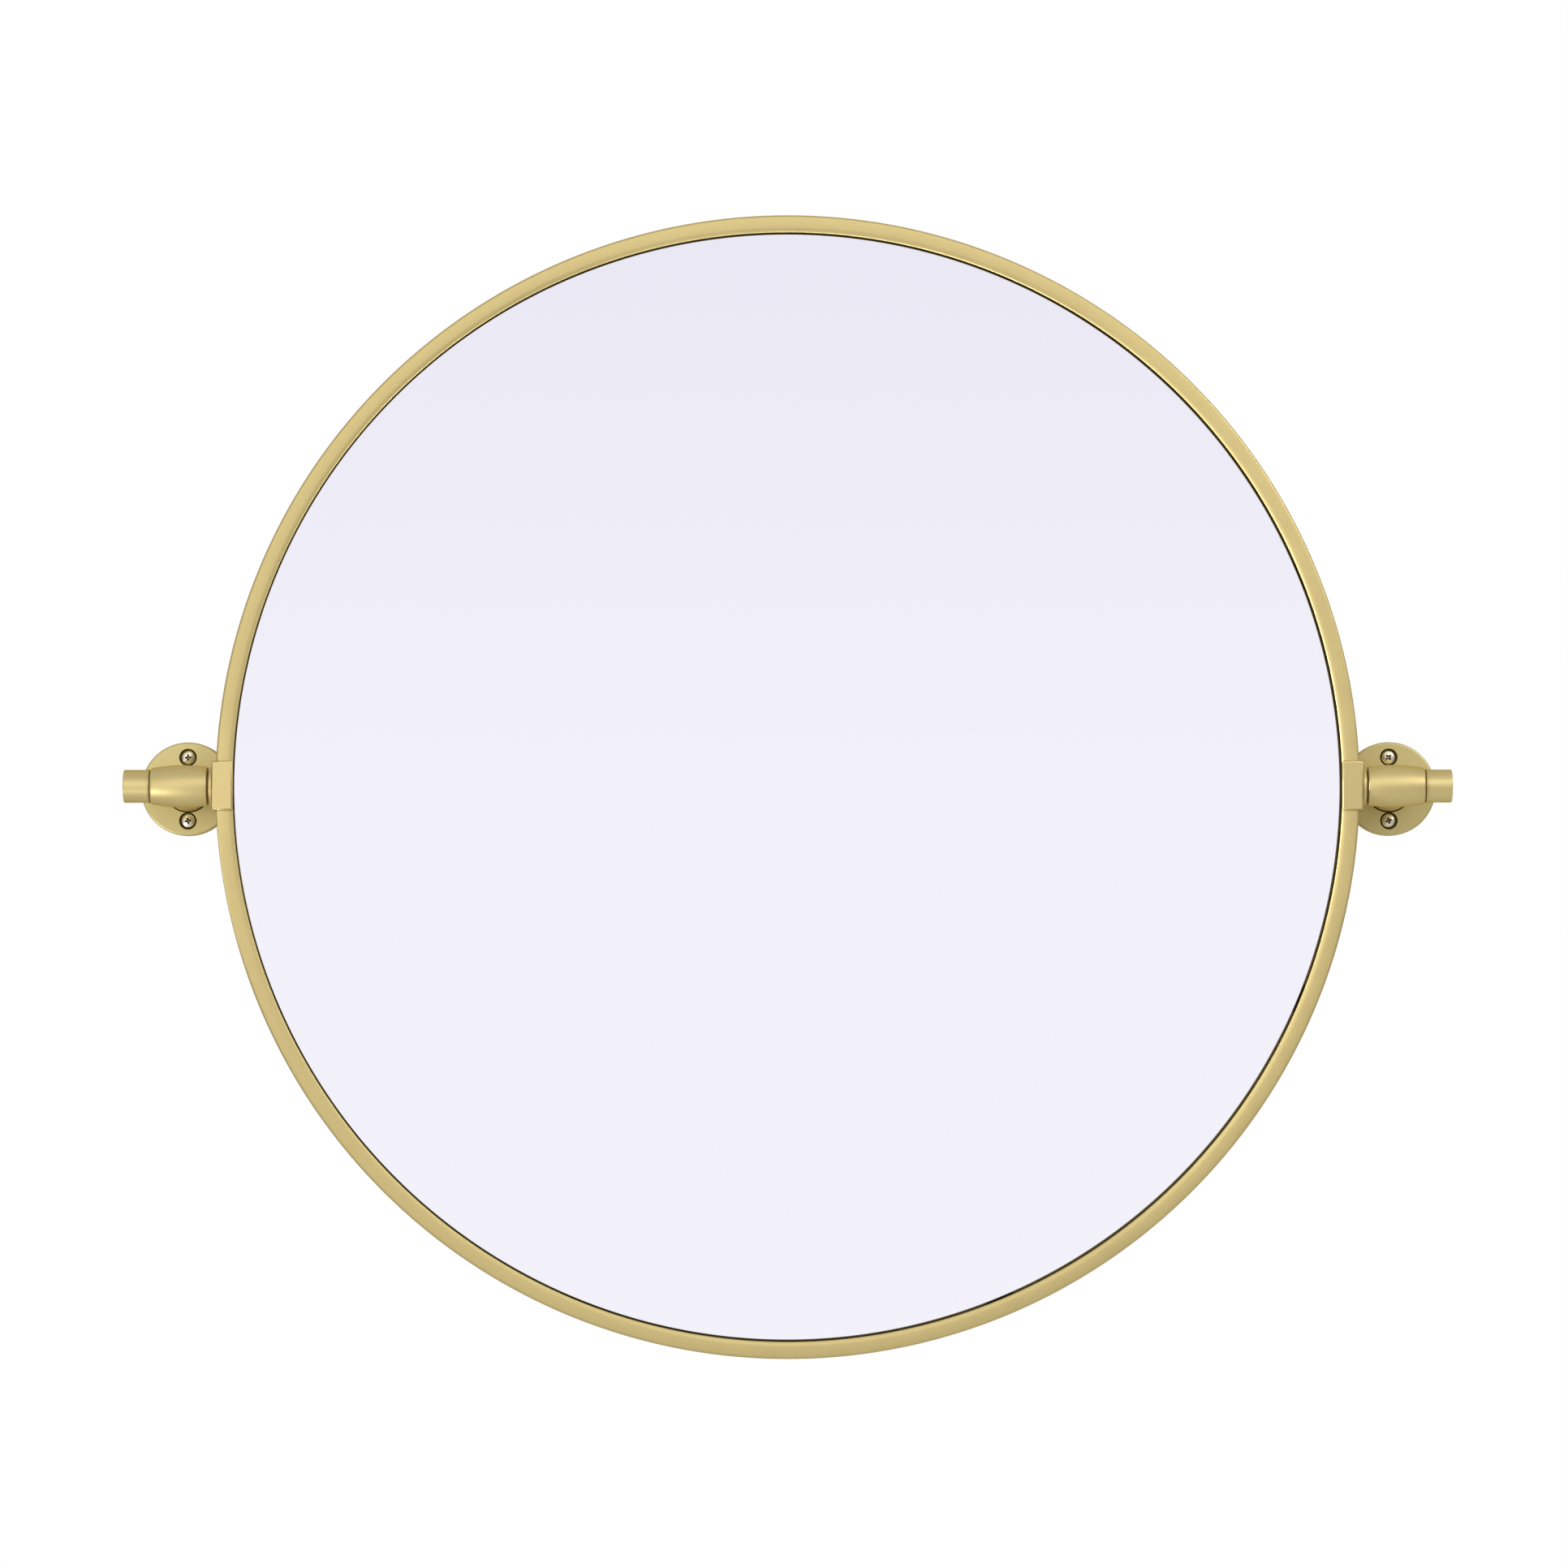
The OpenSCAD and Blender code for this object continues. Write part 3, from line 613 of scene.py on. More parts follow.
def eased(corners, radii, steps):
    """The outline through the corners, each rounded to its own radius, or left sharp at 0.

    In a corner whose half angle is a, a rounding of radius r starts r / tan(a) from the corner on
    both sides, and its middle lies r / sin(a) from the corner on the line that halves it.
    """
    corners = np.asarray(corners, float)
    count = len(corners)
    stretches = []
    for i, r in enumerate(radii):
        corner = corners[i]
        if r == 0:
            stretches.append(corner[None])
            continue
        back = unit(corners[i - 1] - corner)
        ahead = unit(corners[(i + 1) % count] - corner)
        half = math.acos(np.clip(back @ ahead, -1, 1)) / 2
        middle = corner + unit(back + ahead) * r / math.sin(half)
        start = corner + back * r / math.tan(half) - middle
        end = corner + ahead * r / math.tan(half) - middle
        first = math.atan2(start[1], start[0])
        swing = (math.atan2(end[1], end[0]) - first + math.pi) % (2 * math.pi) - math.pi
        turn = first + swing * np.linspace(0, 1, steps)
        stretches.append(middle + r * np.stack([np.cos(turn), np.sin(turn)], 1))
    return np.concatenate(stretches)


def arc(centre, r, start, end, steps):
    """Points of a circle between two directions."""
    turn = np.linspace(start, end, steps)
    return centre + r * np.stack([np.cos(turn), np.sin(turn)], 1)


def nested(centre, distance, x):
    """The place at x above a circle's centre that lies at the distance from it."""
    return np.array([x, centre[1] + math.sqrt(distance ** 2 - (x - centre[0]) ** 2)])


def heading(start, end):
    """The direction from one place to another."""
    return math.atan2(end[1] - start[1], end[0] - start[0])


def skin(name, points, loop_rows, loop_columns):
    """Quads over a grid of points. A grid that loops joins its last row or column to its first.
    Points that meet in a pole are merged, and the faces are turned to point outwards."""
    rows, columns = points.shape[:2]
    r = np.arange(rows if loop_rows else rows - 1)[:, None]
    c = np.arange(columns if loop_columns else columns - 1)[None]
    r2, c2 = (r + 1) % rows, (c + 1) % columns
    quads = np.stack([r * columns + c, r2 * columns + c, r2 * columns + c2, r * columns + c2], -1)
    mesh = bpy.data.meshes.new(name)
    mesh.from_pydata(points.reshape(-1, 3), [], quads.reshape(-1, 4).tolist())
    tidy_mesh(mesh)
    return mesh


def tidy_mesh(mesh):
    """Points that meet are merged, collapsed faces go, and the others are turned outwards."""
    work = bmesh.new()
    work.from_mesh(mesh)
    bmesh.ops.remove_doubles(work, verts=work.verts, dist=MERGE_GAP)
    bmesh.ops.dissolve_degenerate(work, edges=work.edges, dist=MERGE_GAP)
    bmesh.ops.recalc_face_normals(work, faces=work.faces)
    work.to_mesh(mesh)
    work.free()


def turned(name, outline, place, loop=True, steps=TURN_STEPS):
    """An outline of (radius, place along the axis) turned about that axis.

    At the turn t a point of radius r lies r cos(t) and r sin(t) across the axis."""
    turn = np.linspace(0, 2 * math.pi, steps, endpoint=False)
    radius, along = outline[:, :1], outline[:, 1:]
    points = place(radius * np.cos(turn), radius * np.sin(turn), along + 0 * turn)
    return skin(name, points, loop, True)


def about_line(x, z):
    """Across and along the line through (x, z) square to the wall."""
    def place(across, up, h):
        return np.stack([across + x, -h, up + z], -1)
    return place


def about_pivot(side):
    """Across and along the pivot axis, measured out from the mirror's middle on one side."""
    def place(across, up, out):
        return np.stack([side * out, across - PIVOT_H, up], -1)
    return place


def bored(mesh, rods):
    """The mesh with the rods' holes in it."""
    blank = bpy.data.objects.new("blank", mesh)
    bpy.context.scene.collection.objects.link(blank)
    drills = []
    for rod in rods:
        drill = bpy.data.objects.new("drill", rod)
        bpy.context.scene.collection.objects.link(drill)
        cut = blank.modifiers.new("bore", "BOOLEAN")
        cut.operation = "DIFFERENCE"
        cut.solver = "EXACT"
        cut.object = drill
        drills.append(drill)
    done = blank.evaluated_get(bpy.context.evaluated_depsgraph_get())
    result = bpy.data.meshes.new_from_object(done)
    result.name = mesh.name
    for used in [blank] + drills:
        bpy.data.objects.remove(used)
    return result


def show(name, mesh, body, nodes, slot, *materials):
    """The mesh as a piece that rides on a body and stands for its CAD nodes."""
    mesh.polygons.foreach_set("use_smooth", np.ones(len(mesh.polygons), bool))
    mesh.set_sharp_from_angle(angle=SHARP_ANGLE)
    piece = bpy.data.objects.new(name, mesh)
    bpy.context.scene.collection.objects.link(piece)
    for material in materials:
        mesh.materials.append(material)
    shade = piece.modifiers.new("shade", "WEIGHTED_NORMAL")
    shade.mode = "FACE_AREA_WITH_ANGLE"
    shade.keep_sharp = True
    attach(piece, body)
    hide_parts(*nodes)
    return piece


def joined(name, meshes):
    """Several meshes as one."""
    work = bmesh.new()
    for mesh in meshes:
        work.from_mesh(mesh)
    result = bpy.data.meshes.new(name)
    work.to_mesh(result)
    work.free()
    return result


def show_smooth(name, node, body, slot, material):
    """A CAD node's own shape with its loose triangles joined, for smooth shading."""
    mesh = NODES[node].data.copy()
    mesh.name = name
    mesh.materials.clear()
    tidy_mesh(mesh)
    return show(name, mesh, body, [node], slot, material)


# ---- Frame ring ----

def ring_outline():
    """The bar of the ring in (radius, height): a slight crown in front that sweeps down to the
    inner lip, and rounded outer edges. Each arc touches the next one from inside."""
    slope = math.pi / 2 + LIP_SLOPE
    step = (LIP_SWEEP - LIP_R) * np.array([math.cos(slope), math.sin(slope)])
    crown = np.array([(RING_IN_R + RING_R) / 2, RING_FRONT - RING_CROWN])
    sweep = nested(crown, RING_CROWN - LIP_SWEEP, RING_IN_R + LIP_R - step[0])
    edge = nested(crown, RING_CROWN - RING_EDGE, RING_R - RING_EDGE)
    rear = np.array([RING_R - RING_EDGE, RING_BACK + RING_EDGE])
    to_sweep, to_edge = heading(crown, sweep), heading(crown, edge)
    return np.concatenate([
        [(RING_IN_R, RING_BACK)],
        arc(sweep + step, LIP_R, math.pi, slope, ROUND_POINTS),
        arc(sweep, LIP_SWEEP, slope, to_sweep, ROUND_POINTS)[1:],
        arc(crown, RING_CROWN, to_sweep, to_edge, CROWN_POINTS)[1:],
        arc(edge, RING_EDGE, to_edge, 0, ROUND_POINTS)[1:],
        arc(rear, RING_EDGE, 0, -math.pi / 2, EDGE_POINTS)])


def rod_outline(r, start, end):
    """Half of a rod's outline in (radius, place along its axis)."""
    return np.array([(0, start), (r, start), (r, end), (0, end)])


def make_frame_ring():
    """The rolled ring, with tapped bores for the shafts and for the screws of the side blocks."""
    rods = []
    for side in SIDES.values():
        shaft = rod_outline(RING_BORE_R, RING_BORE_IN, RING_R + DRILL_PAST)
        rods.append(turned("shaft_bore", shaft, about_pivot(side), loop=False,
                           steps=SHAFT_BORE_STEPS))
        screw = rod_outline(BLOCK_SCREW_R, RING_BACK - DRILL_PAST, BLOCK_SCREW_TIP)
        for z in (-BLOCK_SCREW_Z, BLOCK_SCREW_Z):
            rods.append(turned("screw_bore", screw, about_line(side * BLOCK_SCREW_X, z),
                               loop=False, steps=SCREW_BORE_STEPS))
    bar = turned("frame_ring_bar", ring_outline(), about_line(0.0, 0.0), steps=RING_STEPS)
    show("frame_ring_bar", bored(bar, rods), "mirror", ["frame_ring"], "satin_gold",
         SATIN_GOLD_RING)


# ---- Glass ----

def make_glass():
    """The glass disc: a flat silvered face and an edge ground round like a pencil. The face is
    shaded flat and without weighted normals, so that it mirrors like a plane."""
    outline = eased([(0, GLASS_FRONT), (GLASS_R, GLASS_FRONT), (GLASS_R, GLASS_BACK),
                     (0, GLASS_BACK)], [0, GLASS_EDGE, 0, 0], ROUND_POINTS)
    mesh = turned("glass_disc", outline, about_line(GLASS_X, 0.0), loop=False, steps=RING_STEPS)
    piece = show("glass_disc", mesh, "mirror", ["mirror_glass"], "mirror_silver",
                 GROUND_EDGE, SILVERED_GLASS)
    normals = np.empty(len(mesh.polygons) * 3)
    mesh.polygons.foreach_get("normal", normals)
    flat = normals.reshape(-1, 3)[:, 1] < -FACE_ON
    mesh.polygons.foreach_set("material_index", flat.astype(np.int32))
    mesh.polygons.foreach_set("use_smooth", ~flat)
    piece.modifiers.clear()


# ---- Turned fittings on the pivot ----

def make_collar(name, side):
    """A thin ring with rounded edges."""
    bore = SHAFT_R + RUN_GAP
    outline = eased([(bore, COLLAR_IN), (COLLAR_R, COLLAR_IN), (COLLAR_R, COLLAR_OUT),
                     (bore, COLLAR_OUT)],
                    [BROKEN_EDGE, COLLAR_ROUND, COLLAR_ROUND, BROKEN_EDGE], ROUND_POINTS)
    mesh = turned(f"{name}_collar_ring", outline, about_pivot(side))
    show(f"{name}_collar_ring", mesh, "mirror", [f"{name}_collar"], "satin_gold",
         SATIN_GOLD_TURNED)


def make_knob(name, side):
    """A plain turned knob: a bead, a straight grip, a rounded edge and a faint dome. At the angle
    s from the axis a dome of radius R lies R sin(s) across it and R cos(s) from its own centre."""
    bore = THREAD_R + RUN_GAP
    rim_x = KNOB_OUT - (KNOB_DOME - math.sqrt(KNOB_DOME ** 2 - KNOB_R ** 2))
    bead_x = KNOB_IN + KNOB_BEAD_L
    start = math.asin((KNOB_R - KNOB_EDGE) / KNOB_DOME)
    swing = np.linspace(start, 0, ROUND_POINTS)
    dome = np.stack([KNOB_DOME * np.sin(swing),
                     KNOB_OUT - KNOB_DOME + KNOB_DOME * np.cos(swing)], 1)
    sleeve = eased([(0, KNOB_OUT - KNOB_FLOOR), (bore, KNOB_OUT - KNOB_FLOOR), (bore, KNOB_IN),
                    (KNOB_BEAD_R, KNOB_IN), (KNOB_BEAD_R, bead_x), (KNOB_R, bead_x),
                    (KNOB_R, rim_x), (0, rim_x)],
                   [0, 0, KNOB_MOUTH, KNOB_BEAD_ROUND, BROKEN_EDGE, BROKEN_EDGE, KNOB_EDGE, 0],
                   FINE_POINTS)
    outline = np.concatenate([sleeve[:-1], dome])
    mesh = turned(f"{name}_knob_turning", outline, about_pivot(side), loop=False)
    show(f"{name}_knob_turning", mesh, f"{name}_knob", [f"{name}_knob"], "satin_gold",
         SATIN_GOLD_TURNED)


# ---- Knuckle: barrel and post ----

def barrel_r(x, inside=0.0):
    """The barrel's radius R - C + sqrt((C - d)^2 - (x - w)^2), at the depth d inside its surface,
    for a curve of radius C and a widest place w."""
    curve = BARREL_CURVE - inside
    return BARREL_R - BARREL_CURVE + np.sqrt(curve ** 2 - (x - BARREL_WIDEST) ** 2)


def barrel_outline():
    """The hollow barrel in (radius, place along the axis): one long arc that runs into a round
    shoulder and a soft inner edge, and a bore with a seat for a bush at each end."""
    middle = np.array([BARREL_R - BARREL_CURVE, BARREL_WIDEST])
    outer_x, inner_x = BARREL_OUT - BARREL_SHOULDER, BARREL_IN + BARREL_EDGE
    outer = np.array([barrel_r(outer_x, BARREL_SHOULDER), outer_x])
    inner = np.array([barrel_r(inner_x, BARREL_EDGE), inner_x])
    to_outer, to_inner = heading(middle, outer), heading(middle, inner)
    return np.concatenate([
        arc(inner, BARREL_EDGE, -math.pi / 2, to_inner, EDGE_POINTS),
        arc(middle, BARREL_CURVE, to_inner, to_outer, BARREL_POINTS)[1:],
        arc(outer, BARREL_SHOULDER, to_outer, math.pi / 2, ROUND_POINTS)[1:],
        [(BUSH_SEAT_R, BARREL_OUT), (BUSH_SEAT_R, BARREL_OUT - BUSH_L),
         (BARREL_BORE_R, BARREL_OUT - BUSH_L), (BARREL_BORE_R, BARREL_IN + BUSH_L),
         (BUSH_SEAT_R, BARREL_IN + BUSH_L), (BUSH_SEAT_R, BARREL_IN)]])


def on_barrel(x, turn, inside=0.0):
    """A place (x, height, z) on the barrel, or inside it, at a turn from the side that faces the
    wall. Its height is the pivot's less r cos(turn), and its z is r sin(turn)."""
    r = barrel_r(x, inside)
    return np.stack([x, PIVOT_H - r * np.cos(turn), r * np.sin(turn)], -1)


def post_rows():
    """The post in rows round its axis, from its screw's bore over foot and flank to the barrel.

    At the turn t about the post its fillet starts at P0 on the flank, where T0 points up it, and
    ends at P1 on the barrel, a fixed run beyond the post, where T1 points away from the post along
    the barrel's surface. At the share u of the way it is
    (1 - u)^3 P0 + 3 (1 - u)^2 u (P0 + k T0) + 3 (1 - u) u^2 (P1 - k T1) + u^3 P1
    with k a fixed share of |P1 - P0|. The last rows close the post inside the barrel's wall."""
    t = np.linspace(0, 2 * math.pi, TURN_STEPS, endpoint=False)
    cos, sin = np.cos(t), np.sin(t)
    slope = (POST_TOP_R - POST_FOOT_R) / (PIVOT_H - POST_FOOT)
    start_r = POST_FOOT_R + slope * (FLARE_START - POST_FOOT)

    def about_post(r, height):
        return np.stack([POST_X + r * cos, height + 0 * t, r * sin], -1)

    p0 = about_post(start_r, FLARE_START)
    t0 = np.stack([slope * cos, 1 + 0 * t, slope * sin], -1)
    x1 = POST_X + (POST_MEET_R + FLARE_ALONG) * cos
    corner = np.arcsin(POST_MEET_R * sin / barrel_r(POST_X + POST_MEET_R * cos))
    turn1 = corner + FLARE_ROUND * sin / BARREL_R
    p1 = on_barrel(x1, turn1)
    t1 = np.stack([cos, sin * np.sin(turn1), sin * np.cos(turn1)], -1)
    k = FLARE_PULL * np.linalg.norm(p1 - p0, axis=-1, keepdims=True)
    u = np.linspace(0, 1, FLARE_POINTS)[:, None, None]
    fillet = ((1 - u) ** 3 * p0 + 3 * (1 - u) ** 2 * u * (p0 + k * t0)
              + 3 * (1 - u) * u ** 2 * (p1 - k * t1) + u ** 3 * p1)
    foot = [about_post(0, POST_BORE_END), about_post(POST_BORE_R, POST_BORE_END),
            about_post(POST_BORE_R, PLATE_H),
            about_post(POST_FOOT_R - POST_FOOT + PLATE_H, PLATE_H),
            about_post(POST_FOOT_R, POST_FOOT)]
    lid = [on_barrel(x1, turn1, FLARE_BACK)]
    lid += [on_barrel(POST_X + share * POST_MEET_R * cos, share * corner, FLARE_BACK)
            for share in LID_SHARES]
    return np.concatenate([np.stack(foot), fillet, np.stack(lid)])


def make_knuckle(name, side):
    """The casting: the bored barrel and the post that runs up into it."""
    barrel = turned("barrel", barrel_outline(), about_pivot(side))
    rows = post_rows()
    points = np.stack([side * rows[..., 0], -rows[..., 1], rows[..., 2]], -1)
    casting = joined(f"{name}_knuckle_casting", [barrel, skin("post", points, False, True)])
    show(f"{name}_knuckle_casting", casting, "wall_brackets", [f"{name}_knuckle"], "satin_gold",
         SATIN_GOLD_CAST)


# ---- Wall plate ----

def make_plate(name, side):
    """The round plate: a rounded front edge, two stepped holes for the wall screws, and a
    countersunk hole behind for the post's screw."""
    middle = about_line(side * POST_X, 0.0)
    rim = eased([(0, 0), (PLATE_R, 0), (PLATE_R, PLATE_H), (0, PLATE_H)],
                [0, BROKEN_EDGE, PLATE_ROUND, 0], ROUND_POINTS)
    start, end = -DRILL_PAST, PLATE_H + DRILL_PAST
    flare = (RECESS_MOUTH_R - RECESS_R) / RECESS_CHAMFER
    step = np.array([(0, start), (SCREW_HOLE_R, start), (SCREW_HOLE_R, RECESS_FLOOR),
                     (RECESS_R, RECESS_FLOOR), (RECESS_R, PLATE_H - RECESS_CHAMFER),
                     (RECESS_MOUTH_R + flare * DRILL_PAST, end), (0, end)])
    sink = np.array([(0, start), (SINK_R, start), (SINK_HOLE_R, SINK_R - SINK_HOLE_R + start),
                     (SINK_HOLE_R, end), (0, end)])
    holes = [turned("screw_hole", step, about_line(side * POST_X, z), loop=False,
                    steps=HOLE_STEPS) for z in (-SCREW_Z, SCREW_Z)]
    holes.append(turned("post_screw_hole", sink, middle, loop=False, steps=HOLE_STEPS))
    blank = turned(f"{name}_plate_turning", rim, middle, loop=False)
    show(f"{name}_plate_turning", bored(blank, holes), "wall_brackets", [f"{name}_wall_plate"],
         "satin_gold", SATIN_GOLD_PLATE)


# ---- Wall screws ----

def cross_outline(a, b):
    """The outline of a cross with arms 2 a wide that reach b from its middle, each of its twelve
    edges divided evenly."""
    corners = np.array([(b, -a), (b, a), (a, a), (a, b), (-a, b), (-a, a), (-b, a), (-b, -a),
                        (-a, -a), (-a, -b), (a, -b), (a, -a)])
    share = np.linspace(0, 1, CROSS_POINTS, endpoint=False)[:, None, None]
    edges = corners + share * (np.roll(corners, -1, 0) - corners)
    return edges.transpose(1, 0, 2).reshape(-1, 2)


def thread_r(height, turn):
    """A thread's radius: a ridge that climbs one pitch a turn, and a point that tapers to nothing.

    With p = height / pitch - turn / 2 pi it is root + (crest - root) (1 - 2 |p - round(p)|)^2."""
    phase = height / SCREW_PITCH - turn / (2 * math.pi)
    ridge = (1 - 2 * np.abs(phase - np.round(phase))) ** 2
    r = SCREW_ROOT_R + (SCREW_CREST_R - SCREW_ROOT_R) * ridge
    return r * np.clip((height - SCREW_TIP) / SCREW_POINT, 0, 1)


def screw_rows(degrees):
    """One screw from its tip to the floor of its cross recess, in rows of (x, z, height). Each
    row is a ring of radius r, or on the crown a ring that goes over into the cross's outline. The
    crown is a dome of radius R, at the height top - R + sqrt(R^2 - r^2)."""
    mouth = cross_outline(CROSS_ARM, CROSS_LONG)
    floor = cross_outline(CROSS_ARM * CROSS_FLOOR_ARM, CROSS_LONG * CROSS_FLOOR_LONG)
    turn = np.arctan2(mouth[:, 1], mouth[:, 0])
    way = np.stack([np.cos(turn), np.sin(turn)], -1)

    def ring(r, height):
        return np.concatenate([way * np.reshape(r, (-1, 1)), height + 0 * turn[:, None]], -1)

    def dome(r):
        return SCREW_TOP - SCREW_DOME + np.sqrt(SCREW_DOME ** 2 - r ** 2)

    thread = [ring(thread_r(h, turn), h)
              for h in np.linspace(SCREW_TIP, -THREAD_END, THREAD_ROWS)]
    head = eased([(SCREW_NECK_R, SCREW_SEAT), (SCREW_R, SCREW_SEAT), (SCREW_R, dome(SCREW_R)),
                  (SCREW_NECK_R, dome(SCREW_NECK_R))],
                 [0, BROKEN_EDGE, SCREW_EDGE, 0], FINE_POINTS)
    body = [ring(SCREW_NECK_R, 0.0)] + [ring(r, h) for r, h in head[:-1]]
    mouth_r = np.hypot(mouth[:, 0], mouth[:, 1])
    crown = []
    for share in CROWN_SHARES:
        r = (1 - share) * head[-2, 0] + share * mouth_r
        crown.append(np.column_stack([way * r[:, None], dome(r)]))
    floor_h = SCREW_TOP - CROSS_DEPTH
    recess = [np.column_stack([floor, np.full(len(floor), floor_h)]),
              np.column_stack([floor * 0, np.full(len(floor), floor_h - CROSS_POINT)])]
    rows = np.stack(thread + body + crown + recess)
    a = math.radians(degrees)
    rows[..., :2] = rows[..., :2] @ np.array([[math.cos(a), math.sin(a)],
                                              [-math.sin(a), math.cos(a)]])
    return rows


def make_wall_screws(name, side):
    """The two screws of a plate, each turned its own way."""
    screws = []
    for z, degrees in zip((-SCREW_Z, SCREW_Z), SCREW_TURNS[name]):
        rows = screw_rows(degrees)
        points = np.stack([side * SCREW_X + rows[..., 0], -rows[..., 2], z + rows[..., 1]], -1)
        screws.append(skin(f"{name}_screw", points, False, True))
    show(f"{name}_driven_screws", joined(f"{name}_driven_screws", screws), "wall_brackets",
         [f"{name}_wall_screws"], "wall_screw_steel", PLATED_SCREW)


# ---- CAD nodes that show as they are ----

def dress_nodes():
    """Each CAD node that still shows gets its own procedural finish."""
    finishes = {
        "silvering_film": SAFETY_FILM, "bonding_tape": FOAM_TAPE, "backing_board": BLACK_BOARD,
        "backing_lugs": SATIN_GOLD, "lug_screws": PLATED_STEEL,
    }
    per_side = {
        "block_screws": PLATED_STEEL, "pivot_shaft": TURNED_STEEL, "friction_washer": BROWN_NYLON,
        "inner_bush": SINTERED_BRONZE, "outer_bush": SINTERED_BRONZE, "post_screw": PLATED_STEEL,
        "spring_washer": SINTERED_BRONZE, "thrust_washer": SATIN_GOLD_TURNED,
    }
    for side_name in SIDES:
        finishes.update({f"{side_name}_{part}": finish for part, finish in per_side.items()})
    for node, finish in finishes.items():
        NODES[node].data.materials.clear()
        NODES[node].data.materials.append(finish)


# ---- Stage ----

FLOOR_Z = -0.95
FLOOR_SIZE = 6.0
FLOOR_GREYS = (linear((234, 234, 234)), linear((238, 238, 238)))

MIRROR_MIDDLE = (0, -0.07, 0)
# Soft lights that look at the mirror's middle: name, place, width, height and power
PANELS = [
    ("left_panel", (-1.60, -3.40, 0.35), 1.9, 2.4, 11.2),
    ("top_panel", (0.40, -3.10, 1.60), 2.4, 1.5, 9.5),
    ("right_softbox", (1.30, -1.10, 0.85), 0.6, 0.6, 4.5),
]
# Beams that pick out the ring's rim and inner lip and the left bracket: name, place, aim, cone in
# degrees and power
SPOTS = [
    ("rim_spot", (-1.70, -0.75, -0.20), (0.31, -0.07, 0.02), 15.0, 130.0),
    ("right_lip_spot", (-0.40, -0.40, -0.85), (0.125, -0.07, 0.27), 22.0, 28.0),
    ("left_lip_spot", (0.81, -0.46, -0.81), (-0.21, -0.07, 0.21), 17.0, 19.0),
    ("bracket_spot", (-1.10, -1.12, -0.84), (-0.345, -0.04, 0), 4.9, 19.0),
]
# The share of a beam's cone over which its edge fades
SPOT_FADE = 0.4

# Colours of the bright wall behind the camera, by the height of the direction looked in
WALL_LIGHT = [(-0.056, (0.935, 0.930, 0.958)), (0.028, (0.932, 0.925, 0.962)),
              (0.060, (0.912, 0.900, 0.962)), (0.112, (0.862, 0.850, 0.910))]
# The direction of that wall's middle, and how far from it the wall starts and ends to fade
WALL_AIM = (-0.030, -0.9977, 0.060)
WALL_NEAR = math.cos(math.radians(7.5))
WALL_FAR = math.cos(math.radians(15.5))
# Brightness of the dim room well below and well above the horizon, and the height at which it
# stops changing
DIM_BELOW = 0.28
DIM_ABOVE = 0.60
DIM_SPAN = 0.45


def make_floor():
    """A plain pale floor well below the mirror."""
    half = FLOOR_SIZE / 2
    mesh = bpy.data.meshes.new("studio_floor")
    mesh.from_pydata([(-half, -half, FLOOR_Z), (half, -half, FLOOR_Z), (half, half, FLOOR_Z),
                      (-half, half, FLOOR_Z)], [], [(0, 1, 2, 3)])
    floor = bpy.data.objects.new("studio_floor", mesh)
    bpy.context.scene.collection.objects.link(floor)
    finish = Finish("pale_floor", FLOOR_GREYS[0], metallic=0.0, roughness=0.9)
    cloud = finish.noise(cells=3.0, detail=2.0)
    finish.set("Base Color", finish.mix(cloud, *FLOOR_GREYS))
    mesh.materials.append(finish.material)


def make_panel(name, at, width, height, power):
    """A large soft light."""
    data = bpy.data.lights.new(name, "AREA")
    data.shape = "RECTANGLE"
    data.size = width
    data.size_y = height
    data.energy = power
    hang_lamp(data, at, MIRROR_MIDDLE)


def make_spot(name, at, aim, cone, power):
    """A beam that reaches only what lies within its cone."""
    data = bpy.data.lights.new(name, "SPOT")
    data.shadow_soft_size = 0.0
    data.spot_size = math.radians(cone)
    data.spot_blend = SPOT_FADE
    data.energy = power
    hang_lamp(data, at, aim)


def hang_lamp(data, at, aim):
    """The lamp at its place, turned to its aim and kept out of the picture."""
    lamp = bpy.data.objects.new(data.name, data)
    bpy.context.scene.collection.objects.link(lamp)
    lamp.location = at
    lamp.rotation_mode = "QUATERNION"
    lamp.rotation_quaternion = (Vector(aim) - Vector(at)).to_track_quat("-Z", "Y")
    lamp.visible_camera = False


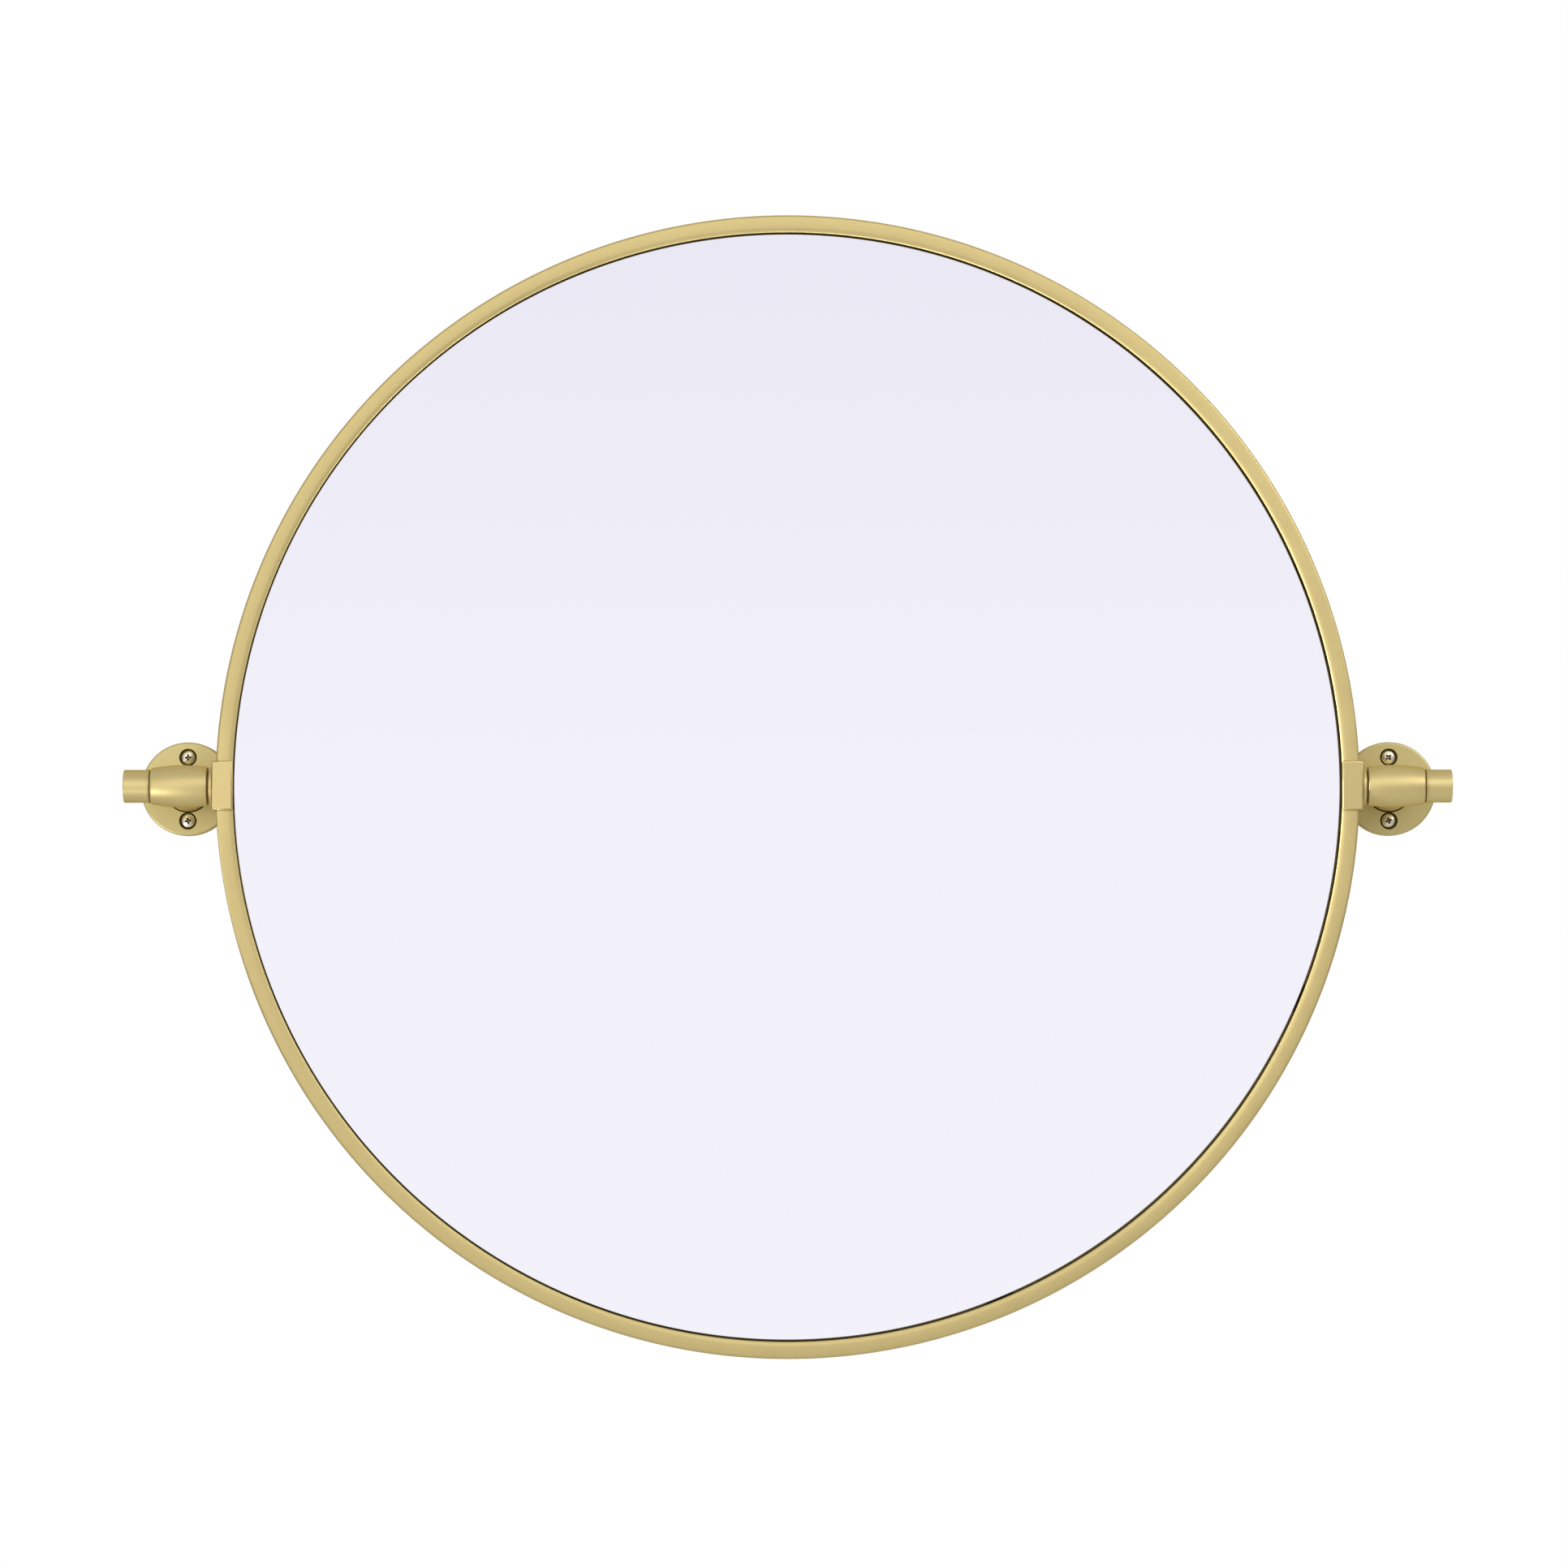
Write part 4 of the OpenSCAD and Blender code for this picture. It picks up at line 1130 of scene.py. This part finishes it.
def make_surroundings():
    """White to the camera. Metal and glass see a dim room with a bright wall behind the camera."""
    world = bpy.data.worlds.new("studio")
    bpy.context.scene.world = world
    world.use_nodes = True
    world.node_tree.nodes.clear()
    room = Nodes(world.node_tree)
    look = room.node("ShaderNodeTexCoord").outputs["Generated"]
    height = room.parts(look)[2]

    ramp = room.node("ShaderNodeValToRGB")
    low, high = WALL_LIGHT[0][0], WALL_LIGHT[-1][0]
    room.feed(ramp.inputs["Fac"], room.span(height, low, high))
    stops = ramp.color_ramp.elements
    # A new ramp has two stops, and the others are added to it
    for i, (z, light) in enumerate(WALL_LIGHT):
        stop = stops[i] if i < 2 else stops.new(0.5)
        stop.position = (z - low) / (high - low)
        stop.color = light + (1.0,)

    dim = room.span(height, -DIM_SPAN, DIM_SPAN, DIM_BELOW, DIM_ABOVE, curve="SMOOTHSTEP")
    facing = room.node("ShaderNodeVectorMath", operation="DOT_PRODUCT")
    room.feed(facing.inputs[0], look)
    room.feed(facing.inputs[1], WALL_AIM)
    near = room.span(facing.outputs["Value"], WALL_FAR, WALL_NEAR, curve="SMOOTHSTEP")

    studio = room.node("ShaderNodeBackground")
    room.feed(studio.inputs["Color"], room.mix(near, dim, ramp.outputs["Color"]))
    white = room.node("ShaderNodeBackground")
    room.feed(white.inputs["Color"], (1, 1, 1, 1))
    seen = room.node("ShaderNodeMixShader")
    room.feed(seen.inputs[0], room.node("ShaderNodeLightPath").outputs["Is Camera Ray"])
    room.feed(seen.inputs[1], studio.outputs[0])
    room.feed(seen.inputs[2], white.outputs[0])
    room.feed(room.node("ShaderNodeOutputWorld").inputs["Surface"], seen.outputs[0])


make_frame_ring()
make_glass()
for name, side in SIDES.items():
    show_smooth(f"{name}_block_casting", f"{name}_side_block", "mirror", "satin_gold",
                SATIN_GOLD_BLOCK)
    make_knuckle(name, side)
    make_plate(name, side)
    make_collar(name, side)
    make_knob(name, side)
    make_wall_screws(name, side)
dress_nodes()
make_floor()
make_surroundings()
for panel in PANELS:
    make_panel(*panel)
for spot in SPOTS:
    make_spot(*spot)
bpy.context.scene.view_settings.view_transform = "Standard"
